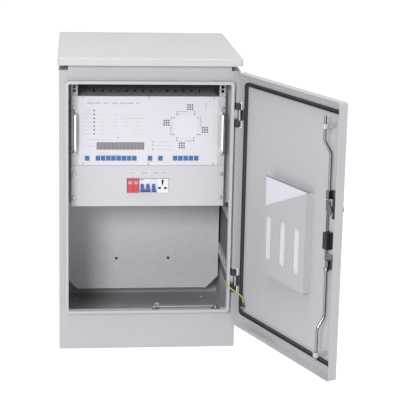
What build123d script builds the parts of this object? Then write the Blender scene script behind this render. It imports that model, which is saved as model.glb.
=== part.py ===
from build123d import *
import math
import os

# Roadside cabinet of a traffic signal controller, door open, all sizes in millimetres.
# Frame: origin at the centre of the base underside, +X to the right of the front, +Y to the back, +Z up.

# How far a cutter passes the surface that it opens, and how deep a welded piece runs into its neighbour
CUT = 1.0
WELD = 0.5
SLIVER = 0.01

# Cabinet body
WIDTH = 560.0
DEPTH = 550.0
HEIGHT = 900.0
WALL = 2.0
FLOOR_SHEET = 3.0
FACE_SHEET = 1.5
BOTTOM_R = 9.0
ANCHOR_INSET = 60.0
ANCHOR_R = 7.0
CABLE_HOLE_R = 25.0
CABLE_HOLE_STEP = 120.0
CABLE_HOLE_SETBACK = 300.0

# Front rim, the gutter that the door seal meets
RIM_INSET = 20.0
RIM_BOTTOM = 123.0
RIM_DROP = 30.0
RIM_PROUD = 22.5
RIM_LIP = 9.5
RIM_SHEET = 1.5
RIM_EDGE_R = 1.4
RIM_CORNER_R = 12.0
OPENING_CORNER_R = 6.0

# Roof cap on its two carriers
ROOF_SIDE = 3.0
ROOF_FRONT = 36.0
ROOF_BACK = 15.0
ROOF_RISE = 20.0
ROOF_SKIRT = 23.0
ROOF_SHEET = 2.0
ROOF_CORNER_R = 9.0
ROOF_EDGE_R = 4.0
CARRIER_INSET = 28.5
CARRIER_DEPTH = 30.0
CARRIER_SHEET = 2.0
ROOF_STUD_INSET = 51.5
ROOF_STUD_R = 4.0
ROOF_STUD_FIT = 0.5
ROOF_STUD_LENGTH = 12.0
ROOF_NUT_FLATS = 13.0
ROOF_NUT_T = 6.5

# Nineteen inch rack
RACK_UNIT = 44.45
POWER_UNITS = 3
CONTROL_UNITS = 5
RACK_PLANE = 61.0
PANEL_WIDTH = 482.6
RACK_HOLE_INSET = 8.75
PANEL_GAP = 0.8
PANEL_SHEET = 2.5
PANEL_CORNER_R = 1.5
PANEL_SCREW_INSET = 37.7
POWER_SCREW_INSET = 28.175
POWER_DROP = 379.5
UPRIGHT_LIP = 10.55
UPRIGHT_FACE = 20.0
UPRIGHT_DEPTH = 40.0
UPRIGHT_SHEET = 2.0
UPRIGHT_LENGTH = 401.0
UPRIGHT_DROP = 45.0
SQUARE_HOLE = 9.5
SQUARE_FIT = 0.1
SQUARE_PAIR_HALF = 6.35
PANEL_SLOT = 10.0
PANEL_SLOT_PLAY = 0.8
SCREW_R = 3.0
SCREW_FIT = 0.05
SCREW_HEAD_R = 6.5
SCREW_HEAD_T = 3.5
SCREW_HEAD_EDGE_R = 1.4
PANEL_SCREW_TIP = 2.0
CAGE_NUT = 12.0
CAGE_NUT_T = 5.0

# Depth rails on the side walls
RAIL_STAND = 8.0
RAIL_HEIGHT = 33.0
RAIL_SHEET = 1.5
RAIL_BACK_GAP = 40.0
RAIL_END = 20.0
RAIL_SLOT_PITCH = 60.0
RAIL_SLOT_LENGTH = 28.0
RAIL_SLOT_WIDTH = 7.0
RAIL_LOW_FOOTS = (184.0, 373.0, 480.0)
RAIL_TOP_DROP = 100.0

# Back mounting plate
PLATE_BACK_GAP = 113.0
PLATE_SHEET = 3.0
PLATE_CENTRE_X = 4.5
PLATE_MARGIN = 13.0
PLATE_FOOT = 56.0
PLATE_DROP = 58.0
PLATE_CHAMFER = 42.0
PLATE_SCREW_SIDE = 85.8
PLATE_SCREW_LIFT = 35.0
PLATE_SCREW_DROP = 37.0
PLATE_SCREW_REACH = 12.0
PLATE_HOLE_LIFT = 109.5
PLATE_HOLE_R = 5.0
STANDOFF_R = 9.0
STANDOFF_BORE = 20.0

# Rack controller
OVERLAY_SHEET = 1.5
OVERLAY_SIDE = 3.0
OVERLAY_INSET = 0.6
OVERLAY_CORNER_R = 1.0
OVERLAY_SCREW_SIDE = 14.0
OVERLAY_SCREW_INSET = 4.4
OVERLAY_SCREW_R = 1.5
OVERLAY_HEAD_R = 3.0
OVERLAY_HEAD_T = 1.4
OVERLAY_HEAD_EDGE_R = 0.7
OVERLAY_SCREW_SHORT = 0.2
CHASSIS_SIDE = 5.0
CHASSIS_INSET = 3.0
CHASSIS_DEPTH = 240.0
CHASSIS_SHEET = 1.5
VENT_COUNT = 14
VENT_WIDTH = 5.0
VENT_LENGTH = 70.0
VENT_STEP = 26.0
BOARD_SIDE = 10.0
BOARD_INSET = 7.0
BOARD_SETBACK = 8.0
BOARD_SHEET = 1.6
BOARD_POST_R = 3.0
BOARD_POST_SIDE = 11.0
BOARD_POST_Z = 72.0
SWITCH_SIZE = 8.0
BUTTON_WIDTH = 13.0
BUTTON_HEIGHT = 14.5
BUTTON_PROUD = 3.5
BUTTON_FIT = 0.4
BUTTON_LIP = 2.0
BUTTON_LIP_T = 1.7
BUTTON_TRAVEL = 1.5
BUTTON_PLAY = 0.3
BUTTON_EDGE_R = 1.2
BUTTON_RISE = 23.0
BUTTONS_FROM_LEFT = (27.1, 60.6, 76.8, 93.1, 109.4, 125.8, 142.2, 158.6, 175.0)
BUTTONS_FROM_MIDDLE = (5.6, 38.6)
BUTTONS_FROM_RIGHT = (133.8, 117.1, 100.4, 83.7, 67.0)
LAMP_FIT = 0.15
LAMP_PROUD = 1.2
LAMP_DOME_R = 1.08
STATUS_LAMP_R = 2.4
STATUS_LAMP_LEFT = 48.6
STATUS_LAMP_RISE = 65.2
STATUS_LAMP_STEP = 12.4
STATUS_LAMP_COUNT = 7
CLUSTER_LAMP_R = 2.6
CLUSTER_STEP = 7.2
PAIR_LAMP_R = 1.8

# The crossing diagram and the legend: X and height from the diagram's and the panel's middle
DIAGRAM_RIGHT = 101.2
CLUSTERS = ((11.8, 76.7), (-61.6, 26.7), (60.2, 3.7), (-12.4, -46.3))
PAIR_LAMPS = ((-28.1, 61.3), (-28.1, 52.9), (26.2, 61.3), (26.2, 52.9),
              (-45.8, 42.7), (-37.4, 41.9), (36.0, 42.7), (44.6, 41.9),
              (-46.4, -11.3), (-38.2, -11.3), (36.1, -11.3), (44.4, -11.3),
              (-28.0, -22.5), (-28.0, -30.3), (25.3, -22.5), (25.3, -30.3))
LEGEND_X = 14.6
LEGEND_LAMPS = (-34.0, -46.3, -58.7)
DISPLAY_LAMP = (123.3, -21.9)
DISPLAY_LEFT = 131.0
DISPLAY_DROP = 48.1
DISPLAY_WIDTH = 149.0
DISPLAY_HEIGHT = 23.0
DISPLAY_SINK = 0.4
DISPLAY_FIT = 0.3
HANDLE_SHIFT = 2.05
HANDLE_R = 5.0
HANDLE_SPAN = 122.0
HANDLE_REACH = 38.0
HANDLE_BEND_R = 12.0

# Power panel
CUTOUT_SIDE = 1.3
CUTOUT_EDGE = 1.1
CUTOUT_LIFT = 0.7
DIN_SETBACK = 45.0
DIN_HEIGHT = 35.0
DIN_HAT = 27.0
DIN_DEPTH = 7.5
DIN_SHEET = 1.0
DIN_HALF = 100.0
DIN_BRACKET_X = 88.0
DIN_BRACKET_T = 2.0
DIN_BRACKET_FOOT = 14.0
MODULE_HALF_HEIGHT = 42.5
MODULE_NOSE_HALF = 22.4
MODULE_PROUD = 4.0
MODULE_SETBACK = 3.0
SURGE_WIDTH = 36.5
BREAKER_TWO_WIDTH = 35.4
BREAKER_ONE_WIDTH = 17.9
SOCKET_WIDTH = 37.4
SURGE_GAP = 1.5
BREAKER_GAP = 0.6
SOCKET_GAP = 0.7
PLUG_DEPTH = 14.0
PLUG_PROUD = 2.0
PLUG_FIT = 0.15
PLUG_EDGE_R = 1.0
PLUG_WINDOW_SIDE = 2.4
PLUG_WINDOW_RISE = (6.0, 12.6)
PLUG_WINDOW_DEPTH = 0.6
TOGGLE_HUB_R = 7.0
TOGGLE_FIT = 0.3
TOGGLE_SINK = 2.5
TOGGLE_WIDTH = 9.4
TOGGLE_THICK = 6.0
TOGGLE_TILT = 42.0
TOGGLE_GRIP = (16.0, 23.0)
TOGGLE_GRIP_T = 8.0
TOGGLE_GRIP_ONE = 14.0
TOGGLE_GRIP_TWO = 32.0
TOGGLE_EDGE_R = 1.5
SOCKET_DEPTH = 9.0
SOCKET_EARTH_TOP = (6.5, 9.0, 20.0)
SOCKET_EARTH_FOOT = (4.4, 2.5, 10.0)
SOCKET_EARTH_R = 2.1
SOCKET_WEDGE = ((5.3, -2.0), (5.6, -10.8), (8.0, -11.4), (15.6, -8.4), (15.9, -6.2))

# Door, given closed; it is built open by DOOR_OPEN degrees about the hinge axis
DOOR_OPEN = 113.6
DOOR_SIDE = 3.0
DOOR_BELOW_RIM = 34.5
DOOR_DROP = 0.5
DOOR_PROUD = 33.0
DOOR_DEPTH = 28.6
DOOR_SHEET = 1.5
DOOR_CORNER_R = 7.0
DOOR_EDGE_R = 2.0
HINGE_OUT = 17.5
HINGE_EDGE = 2.5
HINGE_FROM_RIM = 105.0
HINGE_HEIGHT = 74.0
HINGE_MIDDLE = 34.0
HINGE_PLATE_T = 2.0
HINGE_PLATE_INSET = (17.0, 1.0)
HINGE_BLOCK_R = 4.5
HINGE_BARREL_R = 4.2
HINGE_PIN_R = 2.0
HINGE_FIT = 0.05
HINGE_END_GAP = 0.3
HINGE_LEAF_T = 3.0
HINGE_SCREW_R = 2.0
HINGE_SCREW_HEAD_R = 3.6
HINGE_SCREW_HEAD_T = 1.2
HINGE_SCREW_STEP = 10.0
HINGE_SCREW_LENGTH = 8.0
HINGE_SCREW_PROUD = 0.3
HINGE_PIN_END = 0.5
HINGE_BLOCK_EDGE_R = 5.0
NOTCH_DEEP = 6.0
NOTCH_HALF = 40.0
NOTCH_LEFT = 8.5

# Door seal
SEAL_INSET = 4.0
SEAL_WIDTH = 11.0
SEAL_BASE_T = 3.0
SEAL_RIB = 3.0
SEAL_RIB_STEP = 3.7
SEAL_GAP = 0.5
SEAL_CORNER_R = 10.0

# Things on the door are placed by their distance from the hinge axis, along the closed door
POCKET_NEAR = 182.0
POCKET_FAR = 408.0
POCKET_FRONT = 4.0
POCKET_FOOT = 308.0
POCKET_LOW = 211.0
POCKET_HIGH = 302.0
POCKET_SHEET = 1.2
POCKET_SLOT_WIDTH = 27.0
POCKET_SLOTS = (27.0, 105.5, 182.0)
POCKET_SLOT_RISE = (50.0, 187.0)
POCKET_SPARE = 5.0
PAPER_NEAR_GAP = 2.5
PAPER_FAR_GAP = 3.5
PAPER_T = 6.0
PAPER_HEIGHT = 299.0
PAPER_GAP = 0.4

# Rod lock
CRANK_INSET = 54.5
CRANK_LIFT = 89.0
CRANK_ARM = 15.0
CRANK_T = 3.0
CRANK_HUB_R = 10.0
CRANK_HUB_PROUD = 2.0
CRANK_END_R = 7.0
CRANK_PIN_R = 3.0
CRANK_GAP = 0.5
CRANK_START = 45.0
SPINDLE_R = 4.0
SPINDLE_FIT = 0.5
SPINDLE_INSET = 6.0
SPINDLE_ROOM = 0.5
BAR_T = 3.0
BAR_CLEAR = 0.8
YOKE_NEAR = 5.5
YOKE_FAR = 26.0
YOKE_SLOT_PLAY = 0.8
YOKE_SLOT_END = 0.3
UPPER_YOKE = (-25.0, 35.0)
LOWER_YOKE_RISE = 23.0
LOWER_BAR_WIDTH = 12.0
LOWER_BAR_OFF = 16.0
LOWER_BAR_DROP = 143.0
ROD_OFF = 7.0
ROD_R = 4.5
ROD_MAIN_OUT = 15.0
ROD_END_IN = 8.0
ROD_BEND_R = 22.0
ROD_CHAMFER = 2.0
UPPER_ROD_START = 59.0
UPPER_ROD_DROPS = (150.5, 112.5, 41.5)
LOWER_ROD_START = 173.0
LOWER_ROD_LIFTS = (181.5, 146.5, 51.5)
UPPER_BLOCK_RISE = 35.0
ROD_BLOCK_HALF = 7.0
BALL_R = 8.0
LINK_DROPS = (131.0, 155.0)
LINK_BLOCK_RISE = 8.0
GUIDE_DROP = 71.5
GUIDE_LIFT = 70.0
GUIDE_HEIGHT = 13.0
GUIDE_RING_R = 9.0
GUIDE_FIT = 0.3
GUIDE_FOOT_HALF = 23.0
GUIDE_FOOT_TRIM = 6.0
GUIDE_FOOT_T = 2.0
GUIDE_POST_T = 7.0
LOCK_CASE_SPAN = (-9.2, 11.0)
LOCK_CASE_DROPS = (114.5, 65.5)
LOCK_CASE_OUT = 9.0
LOCK_CASE_SEAM_DROP = 88.0
LOCK_CASE_SEAM = 1.0
LOCK_CASE_SEAM_RISE = 8.0
LOCK_CASE_EDGE_R = 2.0
KEY_R = 9.0
KEY_PROUD = 3.0
KEY_SLOT = 2.0
KEY_SLOT_HALF = 4.0
KEY_SLOT_DEPTH = 4.0
KEY_OFF = 1.0
KEY_DROP = 103.0
KNOB_R = 18.5
KNOB_DEPTH = 28.0
KNOB_GAP = 0.4
KNOB_EDGE_R = 3.0
LEVER_INSET = 1.0
LEVER_LENGTH = 105.0
LEVER_HEIGHT = 18.0
LEVER_T = 12.0
LEVER_EDGE_R = 4.0

# Door stay on the sill
STAY_PIVOT_INSET = 63.0
STAY_OUT = 9.0
STAY_ROD_R = 3.0
STAY_LENGTH = 200.0
STAY_LIFT = 8.5
STAY_HOOK = 7.0
STAY_BEND_R = 4.0
STAY_EYE_R = 8.0
STAY_EYE_T = 5.0
STAY_PLATE_T = 2.5
STAY_PLATE_HALF = 14.0
STAY_PLATE_DEPTH = 16.0
STAY_HEAD_R = 5.5
STAY_HEAD_T = 2.5
STAY_GAP = 0.3
CLIP_FROM_END = (5.0, 19.0)
CLIP_SHEET = 1.5
CLIP_RISE = 20.5
STAY_RAIL_ALONG = (77.0, 226.0)
STAY_RAIL_DEPTH = 13.0
STAY_RAIL_T = 4.0
STAY_RAIL_SLOT = 7.0
STAY_RAIL_SET = 6.0
STAY_RAIL_END = 12.0

# Earth lead
WIRE_R = 2.3
LUG_R = 6.0
LUG_T = 1.5
LUG_BARREL_R = 3.4
LUG_BARREL = 8.0
LUG_NECK = 2.0
LUG_OVERLAP = 1.0
STUD_R = 3.0
STUD_FIT = 0.05
NUT_FLATS = 10.0
NUT_T = 5.0
CABINET_STUD_SETBACK = 91.0
CABINET_STUD_REACH = 14.0
CABINET_LUG_OFF = 6.0
DOOR_STUD_ALONG = 40.0
DOOR_STUD_LIFT = 61.5
DOOR_STUD_REACH = 13.5
DOOR_LUG_OFF = 5.5

# Route of the lead between the two lugs, door open; depths are from the front face
WIRE_ROUTE = [(263.0, 50.0, 203.0), (257.5, 37.0, 208.0), (251.5, 23.5, 213.5), (247.0, 9.5, 218.5),
              (244.8, -5.5, 222.0), (245.0, -20.0, 222.5), (248.5, -33.0, 219.5), (256.5, -42.5, 213.0),
              (267.0, -46.0, 205.5), (279.0, -46.0, 198.0), (289.5, -47.5, 191.0), (297.0, -49.5, 183.0)]
WIRE_EXIT = 13.0
WIRE_ENTRY = 9.0
WIRE_ARC_SHARE = 0.45

# Values worked out from the sizes above
FRONT = -DEPTH / 2
BACK = DEPTH / 2
ROOF_FOOT = HEIGHT + ROOF_RISE
ROOF_TOP = ROOF_FOOT + ROOF_SKIRT
ROOF_SEAT = ROOF_TOP - ROOF_SHEET
CARRIER_HALF = WIDTH / 2 - CARRIER_INSET
ROOF_STUD_X = CARRIER_HALF - ROOF_STUD_INSET
ANCHOR_SPAN_X = WIDTH - 2 * ANCHOR_INSET
ANCHOR_SPAN_Y = DEPTH - 2 * ANCHOR_INSET
RIM_WIDTH = WIDTH - 2 * RIM_INSET
RIM_TOP = HEIGHT - RIM_DROP
RIM_HEIGHT = RIM_TOP - RIM_BOTTOM
RIM_Z = (RIM_TOP + RIM_BOTTOM) / 2
RIM_FRONT = FRONT - RIM_PROUD
SILL = RIM_BOTTOM + RIM_LIP
PANEL_FRONT = FRONT + RACK_PLANE
PANEL_BACK = PANEL_FRONT + PANEL_SHEET
POWER_Z = HEIGHT - POWER_DROP
POWER_HEIGHT = POWER_UNITS * RACK_UNIT - PANEL_GAP
CONTROL_HEIGHT = CONTROL_UNITS * RACK_UNIT - PANEL_GAP
CONTROL_Z = POWER_Z + (POWER_UNITS + CONTROL_UNITS) / 2 * RACK_UNIT
SQUARE_PAIR_Z = CONTROL_Z + (CONTROL_UNITS + 1) / 2 * RACK_UNIT
CONTROL_FOOT = CONTROL_Z - CONTROL_HEIGHT / 2
CONTROL_TOP = CONTROL_Z + CONTROL_HEIGHT / 2
POWER_SCREW = POWER_HEIGHT / 2 - POWER_SCREW_INSET
CONTROL_SCREW = CONTROL_HEIGHT / 2 - PANEL_SCREW_INSET
SCREW_LINE = PANEL_WIDTH / 2 - RACK_HOLE_INSET
UPRIGHT_INNER = SCREW_LINE - UPRIGHT_LIP
UPRIGHT_TOP = HEIGHT - UPRIGHT_DROP
UPRIGHT_FOOT = UPRIGHT_TOP - UPRIGHT_LENGTH
HANDLE_X = SCREW_LINE - HANDLE_SHIFT
RAIL_FACE = WIDTH / 2 - RAIL_STAND
RAIL_LENGTH = DEPTH - RACK_PLANE - RAIL_BACK_GAP
RAIL_FOOTS = RAIL_LOW_FOOTS + (HEIGHT - RAIL_TOP_DROP,)
PLATE_FRONT = DEPTH - PLATE_BACK_GAP
PLATE_WIDTH = WIDTH - 2 * PLATE_MARGIN
PLATE_TOP = HEIGHT - PLATE_DROP
PLATE_SCREW_STEP = PLATE_WIDTH / 2 - PLATE_SCREW_SIDE
PLATE_SCREW_LOW = PLATE_FOOT + PLATE_SCREW_LIFT
PLATE_SCREW_HIGH = PLATE_TOP - PLATE_SCREW_DROP
PLATE_HOLE_STEP = PLATE_SCREW_STEP / 2
PLATE_HOLE_Z = PLATE_FOOT + PLATE_HOLE_LIFT
OVERLAY_HALF = UPRIGHT_INNER - OVERLAY_SIDE
OVERLAY_SCREW_X = OVERLAY_HALF - OVERLAY_SCREW_SIDE
CHASSIS_HALF = UPRIGHT_INNER - CHASSIS_SIDE
BOARD_HALF = CHASSIS_HALF - BOARD_SIDE
BOARD_POST_X = BOARD_HALF - BOARD_POST_SIDE
DIAGRAM_X = OVERLAY_HALF - DIAGRAM_RIGHT
DISPLAY_X = DISPLAY_LEFT - OVERLAY_HALF
DISPLAY_Z = CONTROL_Z - DISPLAY_DROP
BUTTON_X = (tuple(place - OVERLAY_HALF for place in BUTTONS_FROM_LEFT) + BUTTONS_FROM_MIDDLE
            + tuple(OVERLAY_HALF - place for place in BUTTONS_FROM_RIGHT))
OVERLAY_FRONT = PANEL_FRONT - OVERLAY_SHEET
BOARD_FRONT = PANEL_BACK + BOARD_SETBACK
BUTTON_Z = CONTROL_FOOT + BUTTON_RISE
SWITCH_TOP = PANEL_BACK + BUTTON_PLAY + BUTTON_LIP_T + BUTTON_TRAVEL + BUTTON_PLAY
MODULE_Z = POWER_Z + CUTOUT_LIFT
MODULES_WIDTH = (SURGE_WIDTH + SURGE_GAP + BREAKER_TWO_WIDTH + BREAKER_GAP
                 + BREAKER_ONE_WIDTH + SOCKET_GAP + SOCKET_WIDTH)
SURGE_X = (-MODULES_WIDTH / 2, SURGE_WIDTH - MODULES_WIDTH / 2)
BREAKER_TWO_X = (SURGE_X[1] + SURGE_GAP, SURGE_X[1] + SURGE_GAP + BREAKER_TWO_WIDTH)
BREAKER_ONE_X = (BREAKER_TWO_X[1] + BREAKER_GAP, BREAKER_TWO_X[1] + BREAKER_GAP + BREAKER_ONE_WIDTH)
SOCKET_X = (BREAKER_ONE_X[1] + SOCKET_GAP, BREAKER_ONE_X[1] + SOCKET_GAP + SOCKET_WIDTH)
CUTOUT_HALF = MODULES_WIDTH / 2 + CUTOUT_SIDE
CUTOUT_HEIGHT = 2 * (MODULE_NOSE_HALF + CUTOUT_EDGE)
DIN_FRONT = PANEL_BACK + DIN_SETBACK
NOSE_FRONT = PANEL_FRONT - MODULE_PROUD
TOGGLE_Y = NOSE_FRONT + TOGGLE_SINK
HINGE_X = WIDTH / 2 - HINGE_EDGE
HINGE_Y = FRONT - HINGE_OUT
SKIN_OUT = FRONT - DOOR_PROUD
SKIN_IN = SKIN_OUT + DOOR_SHEET
DOOR_LIP = SKIN_OUT + DOOR_DEPTH
HINGE_Z = (RIM_BOTTOM + HINGE_FROM_RIM, RIM_TOP - HINGE_FROM_RIM)
HINGE_PLATE_X = (WIDTH / 2 - HINGE_PLATE_INSET[0], WIDTH / 2 - HINGE_PLATE_INSET[1])
DOOR_WIDTH = WIDTH - 2 * DOOR_SIDE
DOOR_BOTTOM = RIM_BOTTOM - DOOR_BELOW_RIM
DOOR_TOP = HEIGHT - DOOR_DROP
DOOR_HALF = DOOR_WIDTH / 2
DOOR_Z = (DOOR_TOP + DOOR_BOTTOM) / 2
DOOR_HEIGHT = DOOR_TOP - DOOR_BOTTOM
SEAL_X = RIM_WIDTH / 2 - SEAL_INSET
SEAL_BOTTOM = RIM_BOTTOM + SEAL_INSET
SEAL_TOP = RIM_TOP - SEAL_INSET
POCKET_LOW_TOP = POCKET_FOOT + POCKET_LOW
POCKET_HIGH_TOP = POCKET_FOOT + POCKET_HIGH
CRANK_ALONG = HINGE_X + DOOR_HALF - CRANK_INSET
CRANK_Z = DOOR_Z + CRANK_LIFT
LOWER_BAR_ALONG = CRANK_ALONG - LOWER_BAR_OFF
LOWER_BAR_FOOT = CRANK_Z - LOWER_BAR_DROP
ROD_ALONG = CRANK_ALONG + ROD_OFF
UPPER_ROD_Z = (CRANK_Z + UPPER_ROD_START,) + tuple(DOOR_TOP - drop for drop in UPPER_ROD_DROPS)
LOWER_ROD_Z = (CRANK_Z - LOWER_ROD_START,) + tuple(DOOR_BOTTOM + lift for lift in LOWER_ROD_LIFTS)
GUIDE_Z = (DOOR_TOP - GUIDE_DROP, DOOR_BOTTOM + GUIDE_LIFT)
LOCK_CASE_ALONG = (CRANK_ALONG + LOCK_CASE_SPAN[0], CRANK_ALONG + LOCK_CASE_SPAN[1])
LOCK_CASE_Z = (CRANK_Z - LOCK_CASE_DROPS[0], CRANK_Z - LOCK_CASE_DROPS[1])
LOCK_CASE_SEAM_Z = CRANK_Z - LOCK_CASE_SEAM_DROP
KEY_ALONG = CRANK_ALONG + KEY_OFF
KEY_Z = CRANK_Z - KEY_DROP
STAY_PIVOT_X = WIDTH / 2 - STAY_PIVOT_INSET
STAY_END_X = STAY_PIVOT_X - STAY_LENGTH
CLIP_X = (STAY_END_X + CLIP_FROM_END[0], STAY_END_X + CLIP_FROM_END[1])
DOOR_STUD_Z = DOOR_BOTTOM + DOOR_STUD_LIFT
BAR_BACK = SKIN_IN + BAR_CLEAR
BAR_FRONT = BAR_BACK + BAR_T
CRANK_BACK = BAR_FRONT + CRANK_GAP
CRANK_FRONT = CRANK_BACK + CRANK_T
STAY_Z = SILL + STAY_LIFT


def block(x0, x1, y0, y1, z0, z1):
    """A box between two opposite corners."""
    box = Box(abs(x1 - x0), abs(y1 - y0), abs(z1 - z0))
    return Pos((x0 + x1) / 2, (y0 + y1) / 2, (z0 + z1) / 2) * box


def round_x(y, z, r, x0, x1):
    """A round bar along X."""
    turn = Rot(0, 90, 0) * Cylinder(r, abs(x1 - x0))
    return Pos((x0 + x1) / 2, y, z) * turn


def round_y(x, z, r, y0, y1):
    """A round bar along Y."""
    turn = Rot(90, 0, 0) * Cylinder(r, abs(y1 - y0))
    return Pos(x, (y0 + y1) / 2, z) * turn


def round_z(x, y, r, z0, z1):
    """A round bar along Z."""
    return Pos(x, y, (z0 + z1) / 2) * Cylinder(r, abs(z1 - z0))


def slab(width, height, r, x, z, y0, y1):
    """A rounded rectangle seen from the front, as thick as from y0 to y1."""
    face = Plane(origin=(x, y0, z), x_dir=(1, 0, 0), z_dir=(0, 1, 0)) * RectangleRounded(width, height, r)
    return extrude(face, y1 - y0)


def slot_y(x, z, width, height, y0, y1):
    """A round-ended upright slot along Y."""
    return slab(width, height, width / 2 - SLIVER, x, z, y0, y1)


def group(pieces):
    """Separate solids kept as one sub-part."""
    solids = []
    for piece in pieces:
        solids.extend(piece.solids())
    return Compound(solids)


def along(distance):
    """X on the closed door at a distance from the hinge axis."""
    return HINGE_X - distance


def open_door(piece):
    """Turn a piece of the closed door to the open position."""
    return piece.rotate(Axis((HINGE_X, HINGE_Y, 0), (0, 0, 1)), DOOR_OPEN)


def bent_bar(points, bend, r):
    """A round bar bent along a path with one bend radius."""
    path = FilletPolyline(*points, radius=bend)
    start = Plane(origin=path @ 0, z_dir=path % 0)
    return sweep(start * Circle(r), path=path)


# Cabinet body

def roof_carrier(front):
    """A channel across the body top, its web at the front or back edge."""
    web = FRONT if front else BACK - CARRIER_SHEET
    far = FRONT + CARRIER_DEPTH if front else BACK - CARRIER_DEPTH
    y0 = min(FRONT if front else BACK, far)
    y1 = max(FRONT if front else BACK, far)
    piece = block(-CARRIER_HALF, CARRIER_HALF, web, web + CARRIER_SHEET, HEIGHT, ROOF_SEAT)
    piece += block(-CARRIER_HALF, CARRIER_HALF, y0, y1, HEIGHT, HEIGHT + CARRIER_SHEET)
    piece += block(-CARRIER_HALF, CARRIER_HALF, y0, y1, ROOF_SEAT - CARRIER_SHEET, ROOF_SEAT)
    for x in (-ROOF_STUD_X, ROOF_STUD_X):
        middle = (y0 + y1) / 2
        piece -= round_z(x, middle, ROOF_STUD_R + ROOF_STUD_FIT,
                         ROOF_SEAT - CARRIER_SHEET - CUT, ROOF_SEAT + CUT)
    return piece


def cabinet_shell():
    """Floor, sides, back and top, open at the front, with the roof carriers welded on."""
    start = FRONT + FACE_SHEET
    outer = block(-WIDTH / 2, WIDTH / 2, start, BACK, 0, HEIGHT)
    outer = fillet(outer.edges().filter_by(Axis.Y).group_by(Axis.Z)[0], BOTTOM_R)
    half = WIDTH / 2 - WALL
    inner = block(-half, half, start - CUT, BACK - WALL, FLOOR_SHEET, HEIGHT - WALL)
    inner = fillet(inner.edges().filter_by(Axis.Y).group_by(Axis.Z)[0], BOTTOM_R - WALL)
    shell = outer - inner
    for x in (-ANCHOR_SPAN_X / 2, ANCHOR_SPAN_X / 2):
        for y in (-ANCHOR_SPAN_Y / 2, ANCHOR_SPAN_Y / 2):
            shell -= round_z(x, y, ANCHOR_R, -1, FLOOR_SHEET + CUT)
    for place in (-1, 0, 1):
        hole_y = FRONT + CABLE_HOLE_SETBACK
        shell -= round_z(place * CABLE_HOLE_STEP, hole_y, CABLE_HOLE_R, -1, FLOOR_SHEET + CUT)
    return shell + roof_carrier(True) + roof_carrier(False)


def front_frame():
    """Face plate with the proud hollow rim folded round the opening."""
    face = block(-WIDTH / 2, WIDTH / 2, FRONT, FRONT + FACE_SHEET, 0, HEIGHT)
    face = fillet(face.edges().filter_by(Axis.Y).group_by(Axis.Z)[0], BOTTOM_R)
    end = FRONT + FACE_SHEET
    rim = slab(RIM_WIDTH, RIM_HEIGHT, RIM_CORNER_R, 0, RIM_Z, RIM_FRONT, end)
    rim = fillet(rim.faces().sort_by(Axis.Y)[0].edges(), RIM_EDGE_R)
    hollow_w = RIM_WIDTH - 2 * RIM_SHEET
    hollow_h = RIM_HEIGHT - 2 * RIM_SHEET
    hollow_r = RIM_CORNER_R - RIM_SHEET
    hollow = slab(hollow_w, hollow_h, hollow_r, 0, RIM_Z, RIM_FRONT + RIM_SHEET, end + CUT)
    open_w = RIM_WIDTH - 2 * RIM_LIP
    open_h = RIM_HEIGHT - 2 * RIM_LIP
    reveal = slab(open_w + 2 * RIM_SHEET, open_h + 2 * RIM_SHEET, OPENING_CORNER_R + RIM_SHEET,
                  0, RIM_Z, RIM_FRONT + RIM_SHEET / 2, end)
    passage = slab(open_w, open_h, OPENING_CORNER_R, 0, RIM_Z, RIM_FRONT - CUT, end + 2)
    frame = (face + rim) - hollow + reveal - passage
    for z in HINGE_Z:
        for step in (-HINGE_SCREW_STEP, HINGE_SCREW_STEP):
            middle = (HINGE_PLATE_X[0] + HINGE_PLATE_X[1]) / 2
            frame -= round_y(middle, z + step, HINGE_SCREW_R + SCREW_FIT, FRONT - CUT, end + CUT)
    return frame


def roof_cap():
    """Folded cap with a turned-down skirt and four weld studs."""
    x = WIDTH / 2 + ROOF_SIDE
    outer = block(-x, x, FRONT - ROOF_FRONT, BACK + ROOF_BACK, ROOF_FOOT, ROOF_TOP)
    outer = fillet(outer.edges().filter_by(Axis.Z), ROOF_CORNER_R)
    outer = fillet(outer.faces().sort_by(Axis.Z)[-1].edges(), ROOF_EDGE_R)
    x -= ROOF_SHEET
    y0 = FRONT - ROOF_FRONT + ROOF_SHEET
    y1 = BACK + ROOF_BACK - ROOF_SHEET
    inner = block(-x, x, y0, y1, ROOF_FOOT - CUT, ROOF_SEAT)
    inner = fillet(inner.edges().filter_by(Axis.Z), ROOF_CORNER_R - ROOF_SHEET)
    inner = fillet(inner.faces().sort_by(Axis.Z)[-1].edges(), ROOF_EDGE_R - ROOF_SHEET)
    cap = outer - inner
    for stud_x in (-ROOF_STUD_X, ROOF_STUD_X):
        for y in (FRONT + CARRIER_DEPTH / 2, BACK - CARRIER_DEPTH / 2):
            cap += round_z(stud_x, y, ROOF_STUD_R, ROOF_SEAT - ROOF_STUD_LENGTH, ROOF_SEAT + WELD)
    return cap


def hexagon_nut(flats, bore, thickness):
    """A nut lying in XY with its foot at z = 0."""
    nut = extrude(RegularPolygon(flats / math.sqrt(3), 6), thickness)
    return nut - round_z(0, 0, bore, -CUT, thickness + CUT)


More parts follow.
